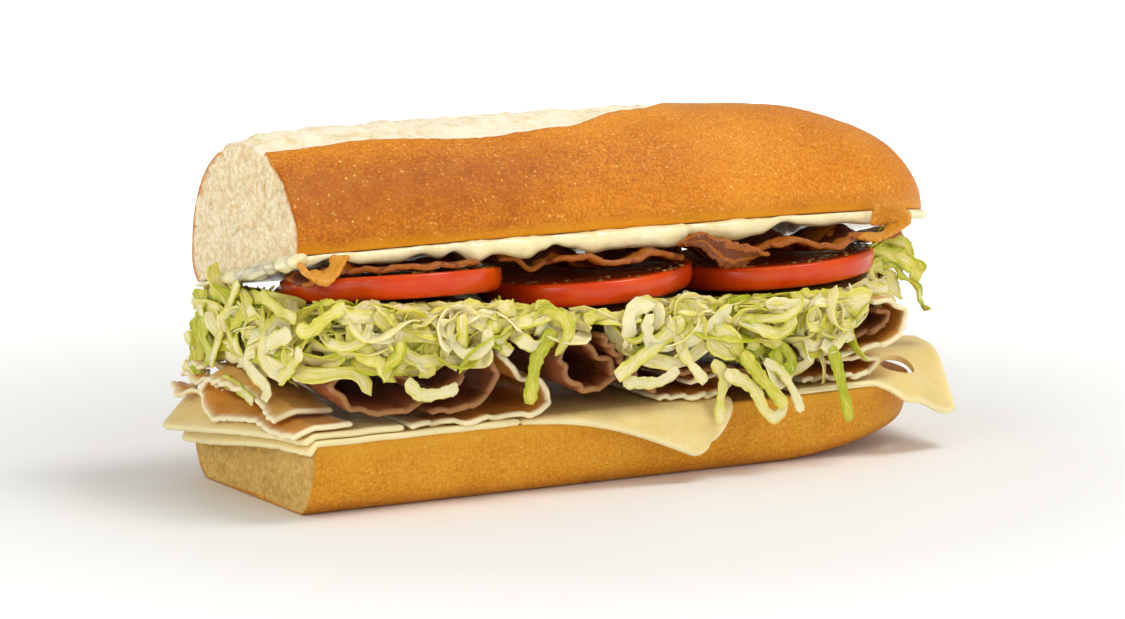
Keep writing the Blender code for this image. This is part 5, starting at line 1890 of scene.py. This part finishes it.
@dataclass
class Lettuce:
    """Shredded iceberg lettuce packed between the meats and the tomatoes."""

    slices: Sequence[TomatoSlice]
    roll: UpperRoll
    seed: int = 12
    over: float = 1.3
    curly: float = 0.42
    tucked: float = 0.36
    hanging: float = 0.4
    counts: tuple[tuple[Side, int], ...] = ((Side.FRONT, 200), (Side.CUT, 74), (Side.TIP, 74), (Side.BACK, 66))
    ceiling: Stops = (
        (-140, 66.0), (-125, 64.5), (-115, 61.6), (-107, 59.6), (-92, 57.9), (-77, 56.5), (-62, 55.2),
        (-50, 55.7), (-46, 55.2), (-41, 52.8), (-29, 51.2), (-17, 50.9), (-1, 52.2), (11, 54.2), (14, 51.8),
        (31, 49.8), (48, 49.2), (64, 50.1), (70, 52.4), (78, 55.5), (90, 60.0))
    outline: Pairs = (
        (-99.0, 26.0), (-100.5, 0.0), (-99.5, -26.0), (-94.5, -37.0), (-80.0, -40.5), (-40.0, -41.0),
        (0.0, -41.5), (40.0, -41.0), (68.0, -38.0), (83.0, -28.0), (91.0, -9.0), (89.0, 12.0), (77.0, 28.0),
        (55.0, 34.5), (0.0, 35.5), (-60.0, 35.0), (-92.0, 33.5))

    def __post_init__(self) -> None:
        """Trace the heap's outline and its outward directions."""
        self.line = spline(self.outline, 560, closed=True)
        ahead = unit(np.roll(self.line, -1, axis=0) - np.roll(self.line, 1, axis=0))
        self.out = np.stack([-ahead[:, 1], ahead[:, 0]], 1)
        if np.dot(self.out[0], self.line[0] - self.line.mean(axis=0)) < 0:
            self.out = -self.out
        self.pace = float(np.mean(np.linalg.norm(np.diff(self.line, axis=0), axis=1)))

    def under_tomato(self, x: float, y: float, margin: float) -> float:
        """Height of the undersides of the tomato slices near x, y."""
        near = [t for t in self.slices if hypot(x - t.x, y - t.y) < t.radius + margin]
        return min((t.level(x, y) - 0.5 * t.thick for t in near), default=self.roll.edge_z)

    def levels(self, x: float) -> tuple[float, float]:
        """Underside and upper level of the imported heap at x."""
        low = through([(-97, 42.2), (-93, 44.6), (-8, 44.4), (4, 34.6), (44, 33.6), (48, 34.0), (53, 46.4)], x)
        high = through([(-97, 51.0), (-90, 56.5), (-44, 57.5), (-32, 53.0), (30, 52.5), (92, 53.0)], x)
        return low, high

    def core(self, finish: Material) -> Piece:
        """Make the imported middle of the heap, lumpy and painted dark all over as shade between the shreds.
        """
        rings = []
        for x in np.linspace(-96.5, 91.5, 190):
            low, high = self.levels(x)
            end = mix(0.72, 1.0, smooth(min(x + 97.0, 92.0 - x) / 10.0))
            half = 34.0 * end * mix(1.0, 0.74, smooth((x - 60.0) / 32.0))
            ring = []
            for k in range(72):
                a = 2.0 * pi * k / 72
                y = -1.0 + half * copysign(abs(cos(a)) ** 0.5, cos(a))
                side = copysign(abs(sin(a)) ** 0.7, sin(a))
                top = min(high, self.under_tomato(x, y, 16.0) - 1.0, self.roll.under_z(max(y, -34.0)) - 3.0)
                z = mix(low, top, 0.5 + 0.5 * side)
                y += 1.8 * rough(x, y, z, 3.5)
                ring.append((x, y, z + 0.7 * rough(z, x, y, 3.0)))
            rings.append(ring)
        points, faces = loft(rings, (0.3, 0.7))
        still, whole = np.zeros(len(points)), np.ones(len(points))
        # Painted shade: the whole core carries buried 0.9, so it shows dark between the shreds.
        shape = Shape.of(points, faces, tint=0.45 * whole, buried=0.9 * whole, along=still, across=still,
                         shred=still)
        return shape.piece("lettuce_core", finish, Slot.LETTUCE, "lettuce")

    def hides_rims(self, point: Any) -> bool:
        """Whether a shred's point would stand before a tomato's rim.

        The point is carried along the line of sight to the plane y = -43,
        where the lower edges of the rims are known.
        """
        x, y, z = point
        if y > 5.0:
            return False
        return z + 0.21 * (y + 43.0) > through(self.ceiling, x - 0.69 * (y + 43.0)) + self.over

    def limits(self, side: Side, x: float, y: float) -> tuple[float, float]:
        """Lowest and highest height that shreds reach at a place on a side."""
        top = min(self.under_tomato(x, y, 1.5) - 0.6, 62.0)
        if side is Side.FRONT:
            stops = [(-98, 36), (-80, 38), (-62, 37), (-52, 41), (-30, 43), (-12, 42), (-4, 37), (8, 31),
                     (18, 25), (40, 24), (52, 27), (62, 24), (68, 28), (76, 31), (92, 34)]
            return through(stops, x), top
        if side is Side.CUT:
            return 33.0, min(top, 61.0)
        if side is Side.TIP:
            return 32.0, min(top, 60.0)
        return 34.0, min(top, 52.0)

    def span(self, side: Side) -> tuple[float, float]:
        """Where a side starts and ends along the outline, in millimetres."""
        whole = self.pace * len(self.line)
        marks = {Side.CUT: (0.0, 64.0), Side.FRONT: (62.0, 228.0), Side.TIP: (222.0, 318.0),
                 Side.BACK: (316.0, whole)}
        return marks[side]

    def at(self, run: float, z: float, depth: float) -> Array:
        """A point at a run along the outline, a height and a distance outside it."""
        k = int(round(run / self.pace)) % len(self.line)
        belly = 1.6 * smooth(1.0 - abs(z - 46.0) / 12.0)
        flat = self.line[k] + self.out[k] * (depth + belly)
        return np.array([flat[0], flat[1], z])

    def draw(self, side: Side, rng: random.Random) -> Strip:
        """Draw one shred at random on a side of the heap.

        Args:
            side: The side.
            rng: The source of chance.

        Returns:
            The shred.
        """
        run = rng.uniform(*self.span(side))
        spot = self.at(run, 45.0, 0.0)
        high = self.limits(side, spot[0], spot[1])[1]
        bed = self.levels(clamp(spot[0], -96.0, 90.0))[0]
        z = rng.uniform(min(bed, high - 4.0) - 1.0, high)
        curly = rng.random() < self.curly
        length = rng.uniform(17.0, 30.0) if curly else rng.uniform(18.0, 38.0)
        tucked = side is Side.FRONT and rng.random() < self.tucked
        if tucked:
            curly, length = False, rng.uniform(10.0, 26.0)
            z = through(self.ceiling, spot[0]) - rng.uniform(0.6, 3.6)
        hanging = not tucked and rng.random() < self.hanging
        heading = rng.gauss(-90.0, 24.0) if hanging else rng.choice((0.0, 180.0)) + rng.gauss(-8.0, 26.0)
        if tucked:
            heading = rng.choice((0.0, 180.0)) + rng.gauss(0.0, 9.0)
        heading = radians(heading)
        bend = rng.choice((-1, 1)) * rng.uniform(0.11, 0.20) if curly else rng.gauss(0.0, 0.06)
        change = rng.gauss(0.0, 0.10)
        layer = rng.uniform(-6.0, 1.5) if tucked else rng.uniform(-3.5, 3.4)
        emerge, leave = rng.random() < 0.75, rng.random() < 0.55
        curl = rng.uniform(0.0, 3.5)
        pace = length / (SHRED_STEPS - 1)
        points = []
        for k in range(SHRED_STEPS):
            t = k / (SHRED_STEPS - 1)
            depth = layer
            if emerge:
                depth -= 6.0 * (1.0 - smooth(t / 0.3))
            if leave:
                depth -= 5.0 * smooth((t - 0.7) / 0.3)
            else:
                depth += curl * smooth((t - 0.6) / 0.4)
            points.append(self.at(run, z, depth + 0.9 * sin(8.0 * t + 3.0 * layer)))
            run += cos(heading) * pace
            z += sin(heading) * pace
            heading += (bend + change * sin(5.0 * t)) * pace
            if hanging and not curly:
                heading += 0.12 * (radians(-90.0) - heading) * 0.5
        kind = rng.random()
        tint = rng.uniform(*((0.0, 0.26) if kind < 0.45 else (0.26, 0.58) if kind < 0.8 else (0.6, 0.95)))
        outward = self.at(run, z, 5.0) - self.at(run, z, 0.0)
        width = rng.uniform(2.8, 4.2) if curly else rng.uniform(3.4, 5.8)
        return Strip(np.array(points), width, tint, rng.gauss(0.0, 0.6), rng.gauss(0.0, 1.3),
                     tuple(outward / 5.0), rng.uniform(-0.04, 0.12), rng.uniform(0.05, 0.45),
                     rng.uniform(0.35, 0.6), rng.uniform(0.05, 0.3), rng.uniform(0.0, 6.0))

    def neighbours(self) -> BVHTree:
        """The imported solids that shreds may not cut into."""
        verts: list[Vector] = []
        faces: Faces = []
        for name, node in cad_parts.items():
            if name == "lettuce":
                continue
            first = len(verts)
            verts.extend(node.matrix_world @ v.co for v in node.data.vertices)
            faces.extend(tuple(first + k for k in face.vertices) for face in node.data.polygons)
        return BVHTree.FromPolygons(verts, faces)

    def scatter(self, pale: Shape, green: Shape) -> None:
        """Fill both shapes with drawn shreds.

        Args:
            pale: Gets the white and pale shreds.
            green: Gets the greener ones.
        """
        walls = self.neighbours()
        rng = random.Random(self.seed)
        lowest, highest = SOLID_BOX
        for side, wanted in self.counts:
            placed = 0
            for _ in range(wanted * 14):
                if placed == wanted:
                    break
                strip = self.draw(side, rng)
                points, faces, values = strip.body(SHRED_STEPS)
                verts = [Vector(p) * MM + PLACE for p in points]
                tops = [self.limits(side, p[0], p[1]) for p in strip.path[::3]]
                if any(not low - 1.0 < p[2] < high + 2.0 for p, (low, high) in zip(strip.path[::3], tops)):
                    continue
                if any(self.hides_rims(p) for p in points[::4]):
                    continue
                if any(not (lowest.x < v.x < highest.x and lowest.y < v.y < highest.y) for v in verts[::5]):
                    continue
                if walls.overlap(BVHTree.FromPolygons(verts, faces)):
                    continue
                (pale if strip.tint < PALE_BELOW else green).add(points, faces, **values)
                placed += 1
            LOG.info("%s: %d of %d shreds laid", side.value, placed, wanted)


def on_front(points: Pairs, width: float, tint: float, y: float = -44.0, **more: Any) -> Strip:
    """A shred on the front of the heap, through (x, z) points, weaving in y."""
    path = [(x, y + 0.6 * sin(k * 2.0), z) for k, (x, z) in enumerate(points)]
    return Strip(spline(path, PATH_STEPS), width, tint, first=NEAR, **more)


def on_cut(points: Pairs, width: float, tint: float, x: float = -105.0, **more: Any) -> Strip:
    """A shred on the cut side of the heap, through (y, z) points, weaving in x."""
    path = [(x + 0.6 * sin(k * 2.0), y, z) for k, (y, z) in enumerate(points)]
    return Strip(spline(path, PATH_STEPS), width, tint, first=(-1.0, 0.0, 0.0), **more)


def loose(points: Sequence[Point], width: float, tint: float, first: Point = NEAR, **more: Any) -> Strip:
    """A shred through points of its own."""
    return Strip(spline(points, PATH_STEPS), width, tint, first=first, **more)


def chosen_shreds() -> list[Strip]:
    """The large shreds that stand out, laid one by one."""
    side = (1.0, 0.0, 0.0)
    return [
        on_front([(-85, 55), (-80, 50), (-74, 48), (-62, 46)], 4.0, 0.30),
        on_front([(-83, 45), (-78, 44), (-72, 41), (-65, 41), (-52, 39)], 3.8, 0.22),
        on_front([(-88, 50), (-84, 46), (-79, 47), (-79, 50)], 3.2, 0.15),
        on_front([(-76, 36), (-72, 32), (-66, 32), (-61, 33)], 3.6, 0.08),
        on_front([(-49, 50), (-49, 45), (-45, 41)], 3.6, 0.25),
        on_front([(-32, 46), (-37, 39), (-40, 27)], 4.5, 0.85, -45.0),
        on_front([(-44, 50), (-44, 47), (-40, 43)], 3.4, 0.2),
        on_front([(8, 46), (-1, 39), (-13, 32)], 5.0, 0.35, -45.5, edge_tint=0.25),
        on_front([(-10, 30), (1, 29), (7, 32)], 3.4, 0.05, -44.5),
        on_front([(5, 50), (17, 43), (25, 38)], 4.2, 0.42),
        on_front([(6, 43), (9, 36), (15, 28)], 3.2, 0.15, -45.5),
        on_front([(18, 33), (22, 29), (20, 21), (21, 16)], 3.4, 0.3, -45.0),
        on_front([(22, 30), (31, 25), (34, 19), (38, 16), (42, 19)], 3.8, 0.2, -45.5),
        on_front([(27, 35), (34, 27), (41, 19)], 4.0, 0.6, -46.0),
        on_front([(35, 32), (42, 27), (47, 17)], 2.8, 0.05, -45.0),
        on_front([(57, 34), (60, 26), (63, 13)], 3.6, 0.9, -45.0),
        on_front([(43, 46), (41, 43), (38, 39)], 3.6, 0.5),
        on_front([(62, 41), (64, 35)], 3.4, 0.3),
        on_front([(45, 47), (57, 46), (70, 46)], 9.5, 0.38, -43.5, tilt=0.3, frill=0.6, edge_tint=0.2),
        on_front([(-60, 50), (-54, 48), (-46, 49), (-49, 44)], 3.4, 0.35),
        on_front([(-37, 53), (-33, 52), (-30, 48), (-25, 49)], 3.4, 0.55),
        on_front([(-22, 48), (-17, 49), (-13, 48), (-9, 48)], 3.4, 0.4),
        on_cut([(-3, 59), (5, 50), (14, 34)], 3.4, 0.35, edge_tint=0.3),
        on_cut([(-17, 58), (-25, 55), (-38, 54)], 3.6, 0.5),
        on_cut([(-9, 53), (-15, 50), (-20, 47)], 3.4, 0.2),
        on_cut([(-36, 50), (-21, 45), (-10, 40), (-15, 36), (-21, 33), (-21, 30)], 4.4, 0.06, -106.0),
        on_cut([(-27, 36), (-34, 41), (-41, 46)], 3.8, 0.3),
        on_cut([(4, 32), (-3, 31), (-15, 29)], 3.6, 0.5, -106.5, edge_tint=0.35),
        on_cut([(20, 54), (20, 43), (14, 35)], 7.0, 0.85, frill=0.9),
        on_cut([(30, 41), (27, 36)], 3.2, 0.1),
        on_cut([(32, 32), (27, 29)], 3.2, 0.1),
        loose([(-106, -40, 52), (-103, -41, 51), (-99, -42, 54), (-93, -42, 57)], 3.6, 0.35),
        loose([(80, -27, 56), (88, -22, 60), (95, -20, 58), (100, -19, 53)],
              6.5, 0.72, first=side, frill=1.1, edge_tint=0.3),
        loose([(84, -25, 57), (91, -21, 55), (99, -20, 52), (105, -19, 47)],
              6.0, 0.78, frill=1.3, edge_tint=0.3, phase=2.0),
        loose([(88, -22, 53), (96, -20, 50), (103, -20, 43), (107, -19, 37)],
              6.5, 0.8, first=side, frill=1.2, edge_tint=0.3, phase=4.0),
        loose([(82, -26, 52), (88, -23, 52), (93, -21, 47), (97, -20, 43)], 5.0, 0.45, frill=0.8, phase=1.0),
        loose([(86, -24, 60), (92, -20, 62), (98, -18, 58), (102, -16, 55)],
              4.5, 0.85, first=side, frill=1.0, phase=5.0),
        loose([(80, -28, 50), (84, -27, 47), (89, -25, 43), (92, -24, 39)], 4.2, 0.3, frill=0.5, phase=3.0),
        loose([(79, -29, 47), (82, -30, 43), (84, -29, 38)], 3.4, 0.55, frill=0.4, phase=0.5),
    ]




@dataclass
class Studio:
    """A pale floor, soft light and the camera."""

    target: Point = (-3.4, 0.0, 43.3)
    distance: float = 1200.0
    turn: float = radians(30.0)
    rise: float = radians(9.0)
    lens: float = 137.3
    ambient: float = 0.53
    sensor: float = 36.0
    floor_half: float = 4.0
    floor_drop: float = 0.0002

    def light(self, name: str, place: Point, size: float, power: float) -> None:
        """Hang a square soft light, aimed at the sandwich."""
        lamp = bpy.data.lights.new(name, "AREA")
        lamp.shape = "SQUARE"
        lamp.size = size
        lamp.energy = power
        obj = bpy.data.objects.new(name, lamp)
        obj.location = Vector(place)
        obj.rotation_euler = (Vector((0.0, 0.0, 0.04)) - obj.location).to_track_quat("-Z", "Y").to_euler()
        bpy.context.scene.collection.objects.link(obj)

    def build(self, finish: Material) -> None:
        """Set up the floor, the lights, the world and the camera."""
        mesh = bpy.data.meshes.new("floor")
        far = self.floor_half
        mesh.from_pydata([(-far, -far, 0), (far, -far, 0), (far, far, 0), (-far, far, 0)], [], [(0, 1, 2, 3)])
        floor = bpy.data.objects.new("floor", mesh)
        floor.location.z = -self.floor_drop
        mesh.materials.append(finish)
        bpy.context.scene.collection.objects.link(floor)
        world = bpy.data.worlds.new("studio")
        world.use_nodes = True
        world.node_tree.nodes["Background"].inputs["Color"].default_value = (1.0, 1.0, 1.0, 1.0)
        wires = Wires(world.node_tree)
        seen = wires.add("ShaderNodeLightPath").outputs["Is Camera Ray"]
        strength = wires.plus(self.ambient, wires.times(seen, 1.0 - self.ambient))
        wires.tree.links.new(strength, world.node_tree.nodes["Background"].inputs["Strength"])
        bpy.context.scene.world = world
        self.light("top", (0.30, -0.30, 0.95), 0.40, 4.5)
        self.light("front", (0.40, -1.1, 0.40), 0.5, 1.6)
        self.light("left", (-1.0, -0.40, 0.40), 0.6, 3.5)
        aim = Vector(self.target) * MM + PLACE
        away = Vector((-sin(self.turn) * cos(self.rise), -cos(self.turn) * cos(self.rise),
                       sin(self.rise)))
        lens = bpy.data.cameras.new("camera")
        lens.lens = self.lens
        lens.sensor_width = self.sensor
        camera = bpy.data.objects.new("camera", lens)
        camera.location = aim + away * self.distance * MM
        camera.rotation_euler = (-away).to_track_quat("-Z", "Y").to_euler()
        bpy.context.scene.collection.objects.link(camera)
        bpy.context.scene.camera = camera
        bpy.context.scene.view_settings.view_transform = "Standard"


def main() -> None:
    """Build the sandwich's looks and its studio."""
    logging.basicConfig(level=logging.INFO, format="%(message)s")
    effects = Effects.make()
    upper, lower = UpperRoll(), LowerRoll()
    upper.build(BreadFinish("upper_bread", 0.46, shine=0.18).make(effects))
    lower.build(BreadFinish("lower_bread", 0.5, shine=0.18, light=(232, 170, 56), middle=(214, 142, 22),
                            dark=(178, 98, 4), rim=(230, 168, 48), crumb_light=(232, 196, 116),
                            crumb_pit_shade=(196, 150, 72)).make(effects))
    Mayonnaise(upper).build(CreamFinish("mayonnaise", 0.22, coat=0.25, soft=0.5, soft_reach=3.0,
                                        soft_tint=(1.0, 0.9, 0.6)).make(effects))
    cheese = SliceFinish("cheese", 0.38, shine=0.3, soft=0.35, face=(238, 218, 152),
                         face_deep=(228, 200, 122), rim=(246, 232, 182), rim_share=0.7)
    CheeseSlices(lower).build(cheese.make(effects))
    turkey = SliceFinish("turkey", 0.4, coat=0.1, shine=0.3, soft=0.35, soft_tint=(1.0, 0.6, 0.35),
                         face=(226, 166, 76), face_deep=(202, 130, 38), under=(234, 186, 104),
                         rim=(248, 232, 188), rim_share=0.95, depth=0.3).make(effects)
    beef = SliceFinish("roast_beef", 0.42, coat=0.12, shine=0.3, soft=0.25, soft_reach=1.5,
                       soft_tint=(1.0, 0.35, 0.2), face=(178, 100, 62), face_deep=(128, 70, 32),
                       under=(186, 112, 72), rim=(168, 120, 72), rim_share=0.85, patch=5.0,
                       depth=0.45).make(effects)
    Meats().build(turkey, beef)
    slices = [TomatoSlice(1, -63.7, -12.0, 56.4, 8.0, -0.5), TomatoSlice(2, -3.7, -12.0, 53.2, 2.5, 3.0),
              TomatoSlice(3, 56.6, -12.0, 53.2, 2.5, 3.0)]
    red = TomatoFinish("tomato", 0.26, coat=0.18, shine=0.25, soft=0.25, soft_reach=2.5,
                       soft_tint=(1.0, 0.25, 0.1)).make(effects)
    for tomato in slices:
        tomato.build(red)
    Herbs(slices).build(HerbFinish("herbs", 0.7).make(effects))
    rasher = BaconFinish("bacon", 0.3, coat=0.22, shine=0.25, soft=0.15, soft_reach=1.5,
                         soft_tint=(1.0, 0.4, 0.2)).make(effects)
    for strip in (BaconStrip(1, -98.0, -51.0, -17.0, 0.4, 4.6), BaconStrip(2, -39.0, 13.0, -16.0, 1.0, 3.6),
                  BaconStrip(3, 26.0, 86.0, -15.0, 2.2, 3.9)):
        strip.build(rasher, slices, upper)
    left = ((-91, -36, 69.0), (-94, -38, 66.0), (-98, -39, 64.3), (-102, -38.5, 65.2), (-103.5, -37, 67.5))
    middle = ((12, -40, 65.5), (17, -41, 66.0), (21, -41.5, 63.6), (26, -41, 61.8), (31, -41, 61.4),
              (36, -40, 61.0))
    right = ((70, -37, 63.0), (75, -38, 62.6), (80, -39, 63.6), (84, -38.5, 66.4), (83, -36, 68.6),
             (78, -34, 68.6))
    curls = (BaconCurl("bacon_curl_left", left, 4.6, 0.95, "bacon_1", frill=1.0),
             BaconCurl("bacon_curl_middle", middle, 6.5, 0.15, "bacon_2", 2.6),
             BaconCurl("bacon_curl_right", right, 7.0, 0.9, "bacon_3"))
    # Painted light: the curls' amber fat is their own colour, but this copy of the bacon finish is brighter
    # than the strips' to lift the shaded curls.
    crisp = BaconFinish("bacon_fat_brightened", 0.28, coat=0.25, shine=0.3, soft=0.35, soft_tint=(1.0, 0.55, 0.15),
                        fat=(234, 164, 44), crisp=(206, 116, 30)).make(effects)
    for curl in curls:
        curl.build(crisp if curl.fat > 0.5 else rasher)
    leaf = LeafFinish("lettuce", 0.32, coat=0.2, shine=0.25, soft=0.35,
                      soft_tint=(1.0, 0.9, 0.25)).make(effects)
    heap = Lettuce(slices, upper)
    heap.core(leaf)
    pale, green = Shape(), Shape()
    heap.scatter(pale, green)
    for strip in chosen_shreds():
        points, faces, values = strip.body(CHOSEN_STEPS)
        (pale if strip.tint < PALE_BELOW else green).add(points, faces, **values)
    pale.piece("lettuce_pale_shreds", leaf, Slot.LETTUCE, "lettuce")
    green.piece("lettuce_green_shreds", leaf, Slot.LETTUCE, "lettuce")
    Studio().build(FloorFinish("floor", 0.6).make(effects))


if __name__ == "__main__":
    main()
